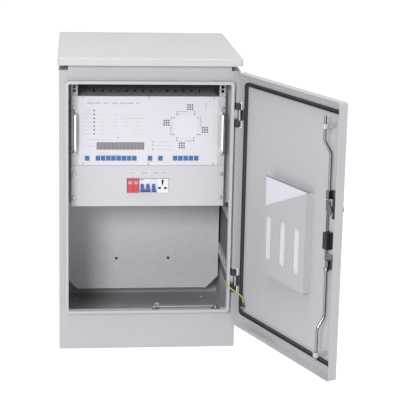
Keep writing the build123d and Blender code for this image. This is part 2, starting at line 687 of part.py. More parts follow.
def cabinet_screws():
    """Roof nuts below the carriers, and the screws of the mounting plate."""
    pieces = []
    foot = ROOF_SEAT - CARRIER_SHEET - ROOF_NUT_T
    for x in (-ROOF_STUD_X, ROOF_STUD_X):
        for y in (FRONT + CARRIER_DEPTH / 2, BACK - CARRIER_DEPTH / 2):
            pieces.append(Pos(x, y, foot) * hexagon_nut(ROOF_NUT_FLATS, ROOF_STUD_R + SCREW_FIT, ROOF_NUT_T))
    face = FRONT + PLATE_FRONT
    for x, z in plate_screw_places():
        head = round_y(x, z, SCREW_HEAD_R, face - SCREW_HEAD_T, face)
        head = fillet(head.edges().sort_by(Axis.Y)[0], SCREW_HEAD_EDGE_R)
        pieces.append(head + round_y(x, z, SCREW_R, face - WELD, face + PLATE_SHEET + PLATE_SCREW_REACH))
    return group(pieces)


# Mounting plate

def plate_screw_places():
    """Three screws along the foot of the plate and three along its top."""
    places = []
    for step in (-1, 0, 1):
        for z in (PLATE_SCREW_LOW, PLATE_SCREW_HIGH):
            places.append((PLATE_CENTRE_X + step * PLATE_SCREW_STEP, z))
    return places


def mounting_plate():
    """Flat plate with cut corners, on stand-offs from the back wall."""
    y0 = FRONT + PLATE_FRONT
    half = PLATE_WIDTH / 2
    plate = block(PLATE_CENTRE_X - half, PLATE_CENTRE_X + half, y0, y0 + PLATE_SHEET, PLATE_FOOT, PLATE_TOP)
    plate = chamfer(plate.edges().filter_by(Axis.Y), PLATE_CHAMFER)
    for x, z in plate_screw_places():
        plate -= round_y(x, z, SCREW_R + SCREW_FIT, y0 - CUT, y0 + PLATE_SHEET + CUT)
    for step in (-1, 1):
        x = PLATE_CENTRE_X + step * PLATE_HOLE_STEP
        plate -= round_y(x, PLATE_HOLE_Z, PLATE_HOLE_R, y0 - CUT, y0 + PLATE_SHEET + CUT)
    return plate


def plate_standoffs():
    """Posts between the back wall and the mounting plate."""
    y0 = FRONT + PLATE_FRONT + PLATE_SHEET
    posts = []
    for x, z in plate_screw_places():
        post = round_y(x, z, STANDOFF_R, y0, BACK - WALL)
        posts.append(post - round_y(x, z, SCREW_R + SCREW_FIT, y0 - CUT, y0 + STANDOFF_BORE))
    return group(posts)


# Rack

def panel_screw_places():
    """Side, height of each panel screw, both panels."""
    places = []
    for side in (-1, 1):
        for centre, step in ((POWER_Z, POWER_SCREW), (CONTROL_Z, CONTROL_SCREW)):
            places.append((side * SCREW_LINE, centre - step))
            places.append((side * SCREW_LINE, centre + step))
    return places


def depth_rails():
    """Slotted channels along both side walls."""
    rails = []
    y0 = PANEL_FRONT
    y1 = PANEL_FRONT + RAIL_LENGTH
    wall = WIDTH / 2 - WALL
    for side in (-1, 1):
        for foot in RAIL_FOOTS:
            top = foot + RAIL_HEIGHT
            rail = block(side * RAIL_FACE, side * wall, y0, y1, foot, top)
            hollow = side * (RAIL_FACE + RAIL_SHEET)
            rail -= block(hollow, side * (wall + CUT), y0 - CUT, y1 + CUT,
                          foot + RAIL_SHEET, top - RAIL_SHEET)
            count = int((RAIL_LENGTH - RAIL_END) // RAIL_SLOT_PITCH)
            for index in range(count):
                y = y0 + RAIL_SLOT_PITCH * (index + 1)
                z = foot + RAIL_HEIGHT / 2
                half = (RAIL_SLOT_LENGTH - RAIL_SLOT_WIDTH) / 2
                near = side * (RAIL_FACE - CUT)
                far = side * (RAIL_FACE + RAIL_SHEET + CUT)
                rail -= block(near, far, y - half, y + half,
                              z - RAIL_SLOT_WIDTH / 2, z + RAIL_SLOT_WIDTH / 2)
                rail -= round_x(y - half, z, RAIL_SLOT_WIDTH / 2, near, far)
                rail -= round_x(y + half, z, RAIL_SLOT_WIDTH / 2, near, far)
            rails.append(rail)
    return group(rails)


def rack_uprights():
    """Folded uprights with square holes, their rear flanges welded to the depth rails."""
    uprights = []
    outer = UPRIGHT_INNER + UPRIGHT_FACE
    web = outer - UPRIGHT_SHEET
    y0 = PANEL_BACK
    y1 = PANEL_BACK + UPRIGHT_DEPTH
    for side in (-1, 1):
        piece = block(side * UPRIGHT_INNER, side * outer, y0, y0 + UPRIGHT_SHEET, UPRIGHT_FOOT, UPRIGHT_TOP)
        piece += block(side * web, side * outer, y0, y1, UPRIGHT_FOOT, UPRIGHT_TOP)
        piece += block(side * web, side * RAIL_FACE, y1 - UPRIGHT_SHEET, y1, UPRIGHT_FOOT, UPRIGHT_TOP)
        heights = [SQUARE_PAIR_Z - SQUARE_PAIR_HALF, SQUARE_PAIR_Z + SQUARE_PAIR_HALF]
        for x, z in panel_screw_places():
            if x * side > 0:
                heights.append(z)
        half = SQUARE_HOLE / 2
        x = side * SCREW_LINE
        for z in heights:
            piece -= block(x - half, x + half, y0 - CUT, y0 + UPRIGHT_SHEET + CUT, z - half, z + half)
        uprights.append(piece)
    return group(uprights)


def cage_nuts():
    """Caged nuts snapped into the square holes behind the panel screws."""
    nuts = []
    y1 = PANEL_BACK + UPRIGHT_SHEET
    for x, z in panel_screw_places():
        neck = SQUARE_HOLE / 2 - SQUARE_FIT
        half = CAGE_NUT / 2
        nut = block(x - neck, x + neck, PANEL_BACK, y1, z - neck, z + neck)
        nut += block(x - half, x + half, y1, y1 + CAGE_NUT_T, z - half, z + half)
        nuts.append(nut - round_y(x, z, SCREW_R + SCREW_FIT, PANEL_BACK - CUT, y1 + CAGE_NUT_T + CUT))
    return group(nuts)


def overlay_screw_places():
    """Six small screws along the top and foot of the overlay."""
    places = []
    for step in (-1, 0, 1):
        for z in (CONTROL_FOOT + OVERLAY_SCREW_INSET, CONTROL_TOP - OVERLAY_SCREW_INSET):
            places.append((step * OVERLAY_SCREW_X, z))
    return places


def panel_screws():
    """Pan-head screws of both rack panels, and the small screws of the overlay."""
    screws = []
    for x, z in panel_screw_places():
        head = round_y(x, z, SCREW_HEAD_R, PANEL_FRONT - SCREW_HEAD_T, PANEL_FRONT)
        head = fillet(head.edges().sort_by(Axis.Y)[0], SCREW_HEAD_EDGE_R)
        end = PANEL_BACK + UPRIGHT_SHEET + CAGE_NUT_T + PANEL_SCREW_TIP
        screws.append(head + round_y(x, z, SCREW_R, PANEL_FRONT - WELD, end))
    for x, z in overlay_screw_places():
        head = round_y(x, z, OVERLAY_HEAD_R, OVERLAY_FRONT - OVERLAY_HEAD_T, OVERLAY_FRONT)
        head = fillet(head.edges().sort_by(Axis.Y)[0], OVERLAY_HEAD_EDGE_R)
        end = PANEL_BACK - OVERLAY_SCREW_SHORT
        screws.append(head + round_y(x, z, OVERLAY_SCREW_R, OVERLAY_FRONT - WELD, end))
    return group(screws)


def rack_panel(centre, height, screw):
    """Blank rack panel with an open-ended look: four round-ended screw slots."""
    panel = slab(PANEL_WIDTH, height, PANEL_CORNER_R, 0, centre, PANEL_FRONT, PANEL_BACK)
    high = 2 * SCREW_R + PANEL_SLOT_PLAY
    for side in (-1, 1):
        for z in (centre - screw, centre + screw):
            panel -= slab(PANEL_SLOT, high, high / 2 - SLIVER, side * SCREW_LINE, z,
                          PANEL_FRONT - CUT, PANEL_BACK + CUT)
    return panel


# Rack controller

def lamp_places():
    """Each lamp's X, Z and radius: status column, four clusters, pairs and legend."""
    places = []
    for index in range(STATUS_LAMP_COUNT):
        z = CONTROL_Z + STATUS_LAMP_RISE - index * STATUS_LAMP_STEP
        places.append((STATUS_LAMP_LEFT - OVERLAY_HALF, z, STATUS_LAMP_R))
    for right, rise in CLUSTERS:
        for column in (-1, 0, 1):
            for row in (-1, 0, 1):
                x = DIAGRAM_X + right + column * CLUSTER_STEP
                places.append((x, CONTROL_Z + rise + row * CLUSTER_STEP, CLUSTER_LAMP_R))
    for right, rise in PAIR_LAMPS:
        places.append((DIAGRAM_X + right, CONTROL_Z + rise, PAIR_LAMP_R))
    for rise in LEGEND_LAMPS:
        places.append((LEGEND_X, CONTROL_Z + rise, PAIR_LAMP_R))
    places.append((DISPLAY_LAMP[0] - OVERLAY_HALF, CONTROL_Z + DISPLAY_LAMP[1], PAIR_LAMP_R))
    return places


def face_holes(plate, y0, y1):
    """Cut the holes for lamps, buttons, display and small screws."""
    tools = []
    for x, z, r in lamp_places():
        tools.append(round_y(x, z, r + LAMP_FIT, y0, y1))
    for x in BUTTON_X:
        wide = BUTTON_WIDTH / 2 + BUTTON_FIT
        high = BUTTON_HEIGHT / 2 + BUTTON_FIT
        tools.append(block(x - wide, x + wide, y0, y1, BUTTON_Z - high, BUTTON_Z + high))
    wide = DISPLAY_WIDTH / 2 + DISPLAY_FIT
    high = DISPLAY_HEIGHT / 2 + DISPLAY_FIT
    tools.append(block(DISPLAY_X - wide, DISPLAY_X + wide, y0, y1, DISPLAY_Z - high, DISPLAY_Z + high))
    for x, z in overlay_screw_places():
        tools.append(round_y(x, z, OVERLAY_SCREW_R + SCREW_FIT, y0, y1))
    return plate - tools


def controller_front_panel():
    panel = rack_panel(CONTROL_Z, CONTROL_HEIGHT, CONTROL_SCREW)
    return face_holes(panel, PANEL_FRONT - CUT, PANEL_BACK + CUT)


def controller_overlay():
    """White plate that carries the controller's markings."""
    height = CONTROL_HEIGHT - 2 * OVERLAY_INSET
    plate = slab(2 * OVERLAY_HALF, height, OVERLAY_CORNER_R, 0, CONTROL_Z, OVERLAY_FRONT, PANEL_FRONT)
    return face_holes(plate, OVERLAY_FRONT - CUT, PANEL_FRONT + CUT)


def controller_chassis():
    """Folded case behind the front panel, open at its front, with vents in its top."""
    z0 = CONTROL_FOOT + CHASSIS_INSET
    z1 = CONTROL_TOP - CHASSIS_INSET
    y1 = PANEL_BACK + CHASSIS_DEPTH
    t = CHASSIS_SHEET
    case = block(-CHASSIS_HALF, CHASSIS_HALF, PANEL_BACK, y1, z0, z1)
    case -= block(-CHASSIS_HALF + t, CHASSIS_HALF - t, PANEL_BACK - CUT, y1 - t, z0 + t, z1 - t)
    vents = []
    for index in range(VENT_COUNT):
        x = (index - (VENT_COUNT - 1) / 2) * VENT_STEP
        y = PANEL_BACK + CHASSIS_DEPTH / 2
        half = VENT_WIDTH / 2
        reach = VENT_LENGTH / 2
        vents.append(block(x - half, x + half, y - reach, y + reach, z1 - t - CUT, z1 + CUT))
    return case - vents


def front_board():
    """Circuit board on posts behind the front panel, with a switch behind each button."""
    z0 = CONTROL_FOOT + BOARD_INSET
    z1 = CONTROL_TOP - BOARD_INSET
    board = block(-BOARD_HALF, BOARD_HALF, BOARD_FRONT, BOARD_FRONT + BOARD_SHEET, z0, z1)
    pieces = []
    for x in (-BOARD_POST_X, 0, BOARD_POST_X):
        for step in (-BOARD_POST_Z, BOARD_POST_Z):
            pieces.append(round_y(x, CONTROL_Z + step, BOARD_POST_R, PANEL_BACK, BOARD_FRONT + WELD))
    half = SWITCH_SIZE / 2
    for x in BUTTON_X:
        pieces.append(block(x - half, x + half, SWITCH_TOP, BOARD_FRONT + WELD,
                            BUTTON_Z - half, BUTTON_Z + half))
    return board + pieces


def indicator_lamps():
    """Lamp bodies that stand on the board and end in a dome in front of the overlay."""
    lamps = []
    for x, z, r in lamp_places():
        lamp = round_y(x, z, r, OVERLAY_FRONT - LAMP_PROUD, BOARD_FRONT)
        lamps.append(fillet(lamp.edges().sort_by(Axis.Y)[0], LAMP_DOME_R))
    return group(lamps)


def display_module():
    """Grey display behind its window, standing on the board."""
    wide = DISPLAY_WIDTH / 2
    high = DISPLAY_HEIGHT / 2
    front = OVERLAY_FRONT + DISPLAY_SINK
    return block(DISPLAY_X - wide, DISPLAY_X + wide, front, BOARD_FRONT, DISPLAY_Z - high, DISPLAY_Z + high)


def push_button(x):
    """Cap with a lip above and below that holds it behind the panel."""
    wide = BUTTON_WIDTH / 2
    high = BUTTON_HEIGHT / 2
    lip = PANEL_BACK + BUTTON_PLAY
    front = OVERLAY_FRONT - BUTTON_PROUD
    cap = block(x - wide, x + wide, front, lip + BUTTON_LIP_T, BUTTON_Z - high, BUTTON_Z + high)
    cap = fillet(cap.faces().sort_by(Axis.Y)[0].edges(), BUTTON_EDGE_R)
    reach = high + BUTTON_LIP
    return cap + block(x - wide, x + wide, lip, lip + BUTTON_LIP_T, BUTTON_Z - reach, BUTTON_Z + reach)


def controller_handles():
    """Round bow handles on the panel's ears."""
    handles = []
    for side in (-1, 1):
        x = side * HANDLE_X
        out = PANEL_FRONT - HANDLE_REACH
        low = CONTROL_Z - HANDLE_SPAN / 2
        high = CONTROL_Z + HANDLE_SPAN / 2
        points = [(x, PANEL_FRONT, low), (x, out, low), (x, out, high), (x, PANEL_FRONT, high)]
        handles.append(bent_bar(points, HANDLE_BEND_R, HANDLE_R))
    return group(handles)


# Power panel

def power_panel():
    panel = rack_panel(POWER_Z, POWER_HEIGHT, POWER_SCREW)
    half = CUTOUT_HEIGHT / 2
    cut = block(-CUTOUT_HALF, CUTOUT_HALF, PANEL_FRONT - CUT, PANEL_BACK + CUT,
                MODULE_Z - half, MODULE_Z + half)
    return panel - cut


def din_rail():
    """Top-hat rail on two angle brackets behind the power panel."""
    high = DIN_HEIGHT / 2
    hat = DIN_HAT / 2
    t = DIN_SHEET
    back = DIN_FRONT + DIN_DEPTH
    rail = block(-DIN_HALF, DIN_HALF, DIN_FRONT, DIN_FRONT + t, MODULE_Z - high, MODULE_Z + high)
    rail += block(-DIN_HALF, DIN_HALF, DIN_FRONT, back, MODULE_Z - hat, MODULE_Z + hat)
    rail -= block(-DIN_HALF - CUT, DIN_HALF + CUT, DIN_FRONT - CUT, back - t,
                  MODULE_Z - hat + t, MODULE_Z + hat - t)
    pieces = [rail]
    for side in (-1, 1):
        near = side * DIN_BRACKET_X
        far = side * (DIN_BRACKET_X + DIN_BRACKET_T)
        bracket = block(near, far, PANEL_BACK, DIN_FRONT, MODULE_Z - high, MODULE_Z + high)
        foot = side * (DIN_BRACKET_X + DIN_BRACKET_FOOT)
        bracket += block(near, foot, PANEL_BACK, PANEL_BACK + DIN_BRACKET_T,
                         MODULE_Z - high, MODULE_Z + high)
        pieces.append(bracket)
    return group(pieces)


def module_body(span):
    """Rail-mounted module: a deep body behind the panel and a nose through the cut-out."""
    x0, x1 = span
    front = PANEL_BACK + MODULE_SETBACK
    body = block(x0, x1, front, DIN_FRONT, MODULE_Z - MODULE_HALF_HEIGHT, MODULE_Z + MODULE_HALF_HEIGHT)
    body += block(x0, x1, NOSE_FRONT, front, MODULE_Z - MODULE_NOSE_HALF, MODULE_Z + MODULE_NOSE_HALF)
    return body


def surge_arrester():
    """Base on the rail with two plug-in modules side by side."""
    x0, x1 = SURGE_X
    seat = PANEL_BACK + PLUG_DEPTH
    base = module_body(SURGE_X)
    base -= block(x0 - CUT, x1 + CUT, NOSE_FRONT - CUT, seat,
                  MODULE_Z - MODULE_NOSE_HALF, MODULE_Z + MODULE_NOSE_HALF)
    pieces = [base]
    middle = (x0 + x1) / 2
    for left, right in ((x0, middle - PLUG_FIT), (middle + PLUG_FIT, x1)):
        high = MODULE_NOSE_HALF - PLUG_FIT
        plug = block(left, right, NOSE_FRONT - PLUG_PROUD, seat, MODULE_Z - high, MODULE_Z + high)
        plug = fillet(plug.faces().sort_by(Axis.Y)[0].edges(), PLUG_EDGE_R)
        face = NOSE_FRONT - PLUG_PROUD
        window = block(left + PLUG_WINDOW_SIDE, right - PLUG_WINDOW_SIDE,
                       face - CUT, face + PLUG_WINDOW_DEPTH,
                       MODULE_Z + PLUG_WINDOW_RISE[0], MODULE_Z + PLUG_WINDOW_RISE[1])
        pieces.append(plug - window)
    return group(pieces)


def toggle_middles(span, poles):
    """X of each pole's toggle in a breaker."""
    width = (span[1] - span[0]) / poles
    return [span[0] + width * (pole + 0.5) for pole in range(poles)]


def breaker(span, poles):
    """Circuit breaker with a round pocket for the toggle of each pole."""
    body = module_body(span)
    half = TOGGLE_WIDTH / 2 + TOGGLE_FIT
    for x in toggle_middles(span, poles):
        body -= round_x(TOGGLE_Y, MODULE_Z, TOGGLE_HUB_R + TOGGLE_FIT, x - half, x + half)
    return body


def toggle(span, poles, grip_width):
    """One hub and lever for each pole, joined by a grip, pointing down when switched off."""
    half = TOGGLE_GRIP_T / 2
    middle = (span[0] + span[1]) / 2
    near, far = TOGGLE_GRIP
    piece = block(middle - grip_width / 2, middle + grip_width / 2, TOGGLE_Y - far, TOGGLE_Y - near,
                  MODULE_Z - half, MODULE_Z + half)
    piece = fillet(piece.faces().sort_by(Axis.Y)[0].edges(), TOGGLE_EDGE_R)
    half = TOGGLE_THICK / 2
    for x in toggle_middles(span, poles):
        x0 = x - TOGGLE_WIDTH / 2
        x1 = x + TOGGLE_WIDTH / 2
        piece += round_x(TOGGLE_Y, MODULE_Z, TOGGLE_HUB_R, x0, x1)
        piece += block(x0, x1, TOGGLE_Y - near - WELD, TOGGLE_Y, MODULE_Z - half, MODULE_Z + half)
    return piece.rotate(Axis((middle, TOGGLE_Y, MODULE_Z), (1, 0, 0)), TOGGLE_TILT)


def socket_outlet():
    """Mains outlet with a keyhole slot for the earth pin over two wedge-shaped slots."""
    body = module_body(SOCKET_X)
    x = (SOCKET_X[0] + SOCKET_X[1]) / 2
    end = NOSE_FRONT + SOCKET_DEPTH
    for width, low, high in (SOCKET_EARTH_TOP, SOCKET_EARTH_FOOT):
        z = MODULE_Z + (low + high) / 2
        body -= slab(width, high - low, SOCKET_EARTH_R, x, z, NOSE_FRONT - CUT, end)
    for side in (-1, 1):
        corners = [(x + side * right, MODULE_Z + rise) for right, rise in SOCKET_WEDGE]
        plane = Plane(origin=(0, end, 0), x_dir=(1, 0, 0), z_dir=(0, -1, 0))
        body -= extrude(plane * make_face(Polyline(*corners, close=True)), SOCKET_DEPTH + CUT)
    return body


# Hinges

def hinge_frame_plates():
    """Plate screwed to the frame, its screws, and the pin."""
    pieces = []
    x0, x1 = HINGE_PLATE_X
    middle = (x0 + x1) / 2
    face = FRONT - HINGE_PLATE_T
    for z in HINGE_Z:
        half = HINGE_HEIGHT / 2
        plate = block(x0, x1, face, FRONT, z - half, z + half)
        for step in (-HINGE_SCREW_STEP, HINGE_SCREW_STEP):
            plate -= round_y(middle, z + step, HINGE_SCREW_R + SCREW_FIT, face - CUT, FRONT + CUT)
            plate -= round_y(middle, z + step, HINGE_SCREW_HEAD_R + SCREW_FIT,
                             face - CUT, face + HINGE_SCREW_HEAD_T)
            screw = round_y(middle, z + step, HINGE_SCREW_HEAD_R,
                            face - HINGE_SCREW_PROUD, face + HINGE_SCREW_HEAD_T)
            screw += round_y(middle, z + step, HINGE_SCREW_R, face, face + HINGE_SCREW_LENGTH)
            pieces.append(screw)
        pieces.append(plate)
        reach = half + HINGE_PIN_END
        pieces.append(round_z(HINGE_X, HINGE_Y, HINGE_PIN_R, z - reach, z + reach))
    return group(pieces)


def hinge_blocks():
    """Black bearing blocks above and below the door leaf."""
    pieces = []
    x0, x1 = HINGE_PLATE_X
    face = FRONT - HINGE_PLATE_T
    for z in HINGE_Z:
        for side in (-1, 1):
            near = z + side * HINGE_MIDDLE / 2
            far = z + side * HINGE_HEIGHT / 2
            piece = block(x0, HINGE_X, HINGE_Y - HINGE_BLOCK_R, face, near, far)
            edge = piece.edges().filter_by(Axis.Z).sort_by(Axis.Y)[0:2].sort_by(Axis.X)[0]
            piece = fillet(edge, HINGE_BLOCK_EDGE_R)
            piece += block(HINGE_X, x1, HINGE_Y, face, near, far)
            piece += round_z(HINGE_X, HINGE_Y, HINGE_BLOCK_R, near, far)
            bore = round_z(HINGE_X, HINGE_Y, HINGE_PIN_R + HINGE_FIT, near - side * CUT, far + side * CUT)
            pieces.append(piece - bore)
    return group(pieces)


def hinge_door_leaves():
    """Leaf welded in the door's corner, with its barrel round the pin."""
    pieces = []
    x1 = DOOR_HALF - DOOR_SHEET
    for z in HINGE_Z:
        half = HINGE_MIDDLE / 2 - HINGE_END_GAP
        leaf = block(x1 - HINGE_LEAF_T, x1, SKIN_IN, HINGE_Y, z - half, z + half)
        leaf += round_z(HINGE_X, HINGE_Y, HINGE_BARREL_R, z - half, z + half)
        leaf -= round_z(HINGE_X, HINGE_Y, HINGE_PIN_R + HINGE_FIT, z - half - CUT, z + half + CUT)
        pieces.append(open_door(leaf))
    return group(pieces)


# Door

def door_pan():
    """Folded pan, notched at the hinges, with the slotted stay rail on its bottom flange."""
    pan = slab(DOOR_WIDTH, DOOR_HEIGHT, DOOR_CORNER_R, 0, DOOR_Z, SKIN_OUT, DOOR_LIP)
    pan = fillet(pan.faces().sort_by(Axis.Y)[0].edges(), DOOR_EDGE_R)
    t = DOOR_SHEET
    pan -= slab(DOOR_WIDTH - 2 * t, DOOR_HEIGHT - 2 * t, DOOR_CORNER_R - t,
                0, DOOR_Z, SKIN_IN, DOOR_LIP + CUT)
    for z in HINGE_Z:
        pan -= block(DOOR_HALF - NOTCH_DEEP, DOOR_HALF + CUT, SKIN_OUT + NOTCH_LEFT, DOOR_LIP + CUT,
                     z - NOTCH_HALF, z + NOTCH_HALF)
    pan -= round_y(along(CRANK_ALONG), CRANK_Z, SPINDLE_R + SPINDLE_FIT, SKIN_OUT - CUT, SKIN_IN + CUT)
    pan -= round_y(along(KEY_ALONG), KEY_Z, KEY_R + SPINDLE_FIT, SKIN_OUT - CUT, SKIN_IN + CUT)
    foot = DOOR_BOTTOM + DOOR_SHEET
    x0 = along(STAY_RAIL_ALONG[1])
    x1 = along(STAY_RAIL_ALONG[0])
    y1 = DOOR_LIP - STAY_RAIL_SET
    y0 = y1 - STAY_RAIL_DEPTH
    rail = block(x0, x1, y0, y1, foot, foot + STAY_RAIL_T)
    middle = (y0 + y1) / 2
    half = STAY_RAIL_SLOT / 2
    rail -= block(x0 + STAY_RAIL_END, x1 - STAY_RAIL_END, middle - half, middle + half,
                  foot, foot + STAY_RAIL_T + CUT)
    return open_door(pan + rail)


def ring(width, height, r, band, y0, y1):
    """A rounded rectangular ring about the door's middle, band wide."""
    z = (SEAL_TOP + SEAL_BOTTOM) / 2
    outer = slab(width + band, height + band, r + band / 2, 0, z, y0, y1)
    return outer - slab(width - band, height - band, r - band / 2, 0, z, y0 - CUT, y1 + CUT)


def door_seal():
    """Black seal with two ribs on a flat base."""
    width = 2 * SEAL_X
    height = SEAL_TOP - SEAL_BOTTOM
    top = RIM_FRONT - SEAL_GAP
    seal = ring(width, height, SEAL_CORNER_R, SEAL_WIDTH, SKIN_IN, SKIN_IN + SEAL_BASE_T)
    for side in (-1, 1):
        step = side * SEAL_RIB_STEP
        rib = ring(width + 2 * step, height + 2 * step, SEAL_CORNER_R + step, SEAL_RIB, SKIN_IN + CUT, top)
        seal += rib
    return open_door(seal)


def document_pocket():
    """Folded pocket with a sloping top edge and three upright slots."""
    x0 = along(POCKET_FAR)
    x1 = along(POCKET_NEAR)
    front = FRONT - POCKET_FRONT
    t = POCKET_SHEET
    top = POCKET_HIGH_TOP + POCKET_SPARE
    pocket = block(x0, x1, SKIN_IN, front, POCKET_FOOT, top)
    pocket -= block(x0 + t, x1 - t, SKIN_IN - CUT, front - t, POCKET_FOOT + t, top + CUT)
    left = x0 - CUT
    right = x1 + CUT
    over = top + CUT
    slope = Polyline((left, POCKET_HIGH_TOP), (right, POCKET_LOW_TOP),
                     (right, over), (left, over), close=True)
    plane = Plane(origin=(0, SKIN_IN - CUT, 0), x_dir=(1, 0, 0), z_dir=(0, -1, 0))
    pocket -= extrude(plane * make_face(slope), -(front - SKIN_IN + 2 * CUT))
    z = POCKET_FOOT + sum(POCKET_SLOT_RISE) / 2
    length = POCKET_SLOT_RISE[1] - POCKET_SLOT_RISE[0]
    for place in POCKET_SLOTS:
        pocket -= slot_y(along(POCKET_NEAR + place), z, POCKET_SLOT_WIDTH, length,
                         front - t - CUT, front + CUT)
    return open_door(pocket)


def papers():
    """Sheaf of documents standing in the pocket."""
    y1 = FRONT - POCKET_FRONT - POCKET_SHEET - PAPER_GAP
    z0 = POCKET_FOOT + POCKET_SHEET + PAPER_GAP / 2
    x0 = along(POCKET_FAR - PAPER_FAR_GAP)
    x1 = along(POCKET_NEAR + PAPER_NEAR_GAP)
    return open_door(block(x0, x1, y1 - PAPER_T, y1, z0, z0 + PAPER_HEIGHT))


# Rod lock

def lock_crank():
    """Two-armed crank with its pins, on the spindle that runs out to the handle."""
    x = along(CRANK_ALONG)
    reach = CRANK_ARM
    arm = block(x - reach, x + reach, CRANK_BACK, CRANK_FRONT, CRANK_Z - CRANK_END_R, CRANK_Z + CRANK_END_R)
    arm += round_y(x, CRANK_Z, CRANK_HUB_R, CRANK_BACK, CRANK_FRONT + CRANK_HUB_PROUD)
    for side in (-1, 1):
        arm += round_y(x + side * reach, CRANK_Z, CRANK_END_R, CRANK_BACK, CRANK_FRONT)
        arm += round_y(x + side * reach, CRANK_Z, CRANK_PIN_R, SKIN_IN + BAR_CLEAR / 2, CRANK_BACK + WELD)
    arm = arm.rotate(Axis((x, 0, CRANK_Z), (0, 1, 0)), -CRANK_START)
    spindle = round_y(x, CRANK_Z, SPINDLE_R, SKIN_OUT - KNOB_DEPTH + SPINDLE_INSET, CRANK_BACK + WELD)
    return open_door(arm + spindle)


def door_handle():
    """Round knob with a lever, on the outside of the door."""
    x = along(CRANK_ALONG)
    y1 = SKIN_OUT - KNOB_GAP
    y0 = SKIN_OUT - KNOB_DEPTH
    knob = round_y(x, CRANK_Z, KNOB_R, y0, y1)
    knob = fillet(knob.edges().sort_by(Axis.Y)[0], KNOB_EDGE_R)
    high = LEVER_HEIGHT / 2
    front = y0 + LEVER_INSET
    lever = block(x, x + LEVER_LENGTH, front, front + LEVER_T, CRANK_Z - high, CRANK_Z + high)
    lever = fillet(lever.edges().filter_by(Axis.X), LEVER_EDGE_R)
    pocket = y0 + SPINDLE_INSET - SPINDLE_ROOM
    return open_door(knob + lever - round_y(x, CRANK_Z, SPINDLE_R + SCREW_FIT, pocket, y1 + CUT))


def yoke_slot(side):
    """Slot across a yoke plate that its crank pin slides in."""
    x = along(CRANK_ALONG)
    near = CRANK_ARM * math.cos(math.radians(CRANK_START)) - CRANK_PIN_R - YOKE_SLOT_END
    far = CRANK_ARM + CRANK_PIN_R + YOKE_SLOT_END
    z = CRANK_Z + side * CRANK_ARM * math.sin(math.radians(CRANK_START))
    half = CRANK_PIN_R + YOKE_SLOT_PLAY
    return block(x + side * near, x + side * far, BAR_BACK - CUT, BAR_FRONT + CUT, z - half, z + half)


def rod_path(heights):
    """Points of a lock rod: a main run near the door skin, a jog, and an end run further in."""
    x = along(ROD_ALONG)
    out = FRONT - ROD_MAIN_OUT
    inside = FRONT + ROD_END_IN
    return [(x, out, heights[0]), (x, out, heights[1]), (x, inside, heights[2]), (x, inside, heights[3])]


def lock_rod(heights):
    """A round rod with a chamfered tip."""
    rod = bent_bar(rod_path(heights), ROD_BEND_R, ROD_R)
    up = heights[3] > heights[0]
    tip = rod.edges().filter_by(GeomType.CIRCLE).sort_by(Axis.Z)[-1 if up else 0]
    return chamfer(tip, ROD_CHAMFER)


def upper_rod():
    """Upper rod with its joint block and yoke plate."""
    x = along(CRANK_ALONG)
    plate = block(x - YOKE_NEAR, x - YOKE_FAR, BAR_BACK, BAR_FRONT,
                  CRANK_Z + UPPER_YOKE[0], CRANK_Z + UPPER_YOKE[1] + CUT)
    plate -= yoke_slot(-1)
    rod_x = along(ROD_ALONG)
    half = ROD_BLOCK_HALF
    joint = block(rod_x - half, rod_x + half, BAR_BACK, FRONT - ROD_MAIN_OUT + half,
                  CRANK_Z + UPPER_BLOCK_RISE, UPPER_ROD_Z[0])
    return open_door(plate + joint + lock_rod((UPPER_ROD_Z[0] - CUT,) + UPPER_ROD_Z[1:]))


def lower_rod():
    """Lower rod with its ball end, link and the yoke bar that runs beside the lock case."""
    x = along(CRANK_ALONG)
    bar_x = along(LOWER_BAR_ALONG)
    half = LOWER_BAR_WIDTH / 2
    foot = CRANK_Z - CRANK_END_R
    plate = block(x + YOKE_NEAR, x + YOKE_FAR, BAR_BACK, BAR_FRONT, foot, CRANK_Z + LOWER_YOKE_RISE)
    plate -= yoke_slot(1)
    plate += block(bar_x - half, bar_x + half, BAR_BACK, BAR_FRONT, LOWER_BAR_FOOT, foot + CUT)
    rod_x = along(ROD_ALONG)
    link_top = CRANK_Z - LINK_DROPS[0]
    link_foot = CRANK_Z - LINK_DROPS[1]
    link = block(rod_x - ROD_BLOCK_HALF, bar_x + half, BAR_BACK, BAR_FRONT, link_foot, link_top)
    out = FRONT - ROD_MAIN_OUT
    link += block(rod_x - ROD_BLOCK_HALF, rod_x + ROD_BLOCK_HALF, BAR_BACK, out, LOWER_ROD_Z[0],
                  link_foot + LINK_BLOCK_RISE)
    ball = Pos(rod_x, out, LOWER_ROD_Z[0]) * Sphere(BALL_R)
    rod = lock_rod(LOWER_ROD_Z)
    return open_door(plate + link + ball + rod)


def rod_guides():
    """Ring brackets that stand on the door skin and guide the rod ends."""
    guides = []
    x = along(ROD_ALONG)
    inside = FRONT + ROD_END_IN
    for z in GUIDE_Z:
        z0 = z - GUIDE_HEIGHT / 2
        z1 = z + GUIDE_HEIGHT / 2
        guide = block(x - GUIDE_FOOT_HALF + GUIDE_FOOT_TRIM, x + GUIDE_FOOT_HALF,
                      SKIN_IN, SKIN_IN + GUIDE_FOOT_T, z0, z1)
        half = GUIDE_POST_T / 2
        guide += block(x - half, x + half, SKIN_IN, inside, z0, z1)
        guide += round_z(x, inside, GUIDE_RING_R, z0, z1)
        guide -= round_z(x, inside, ROD_R + GUIDE_FIT, z0 - CUT, z1 + CUT)
        guides.append(open_door(guide))
    return group(guides)


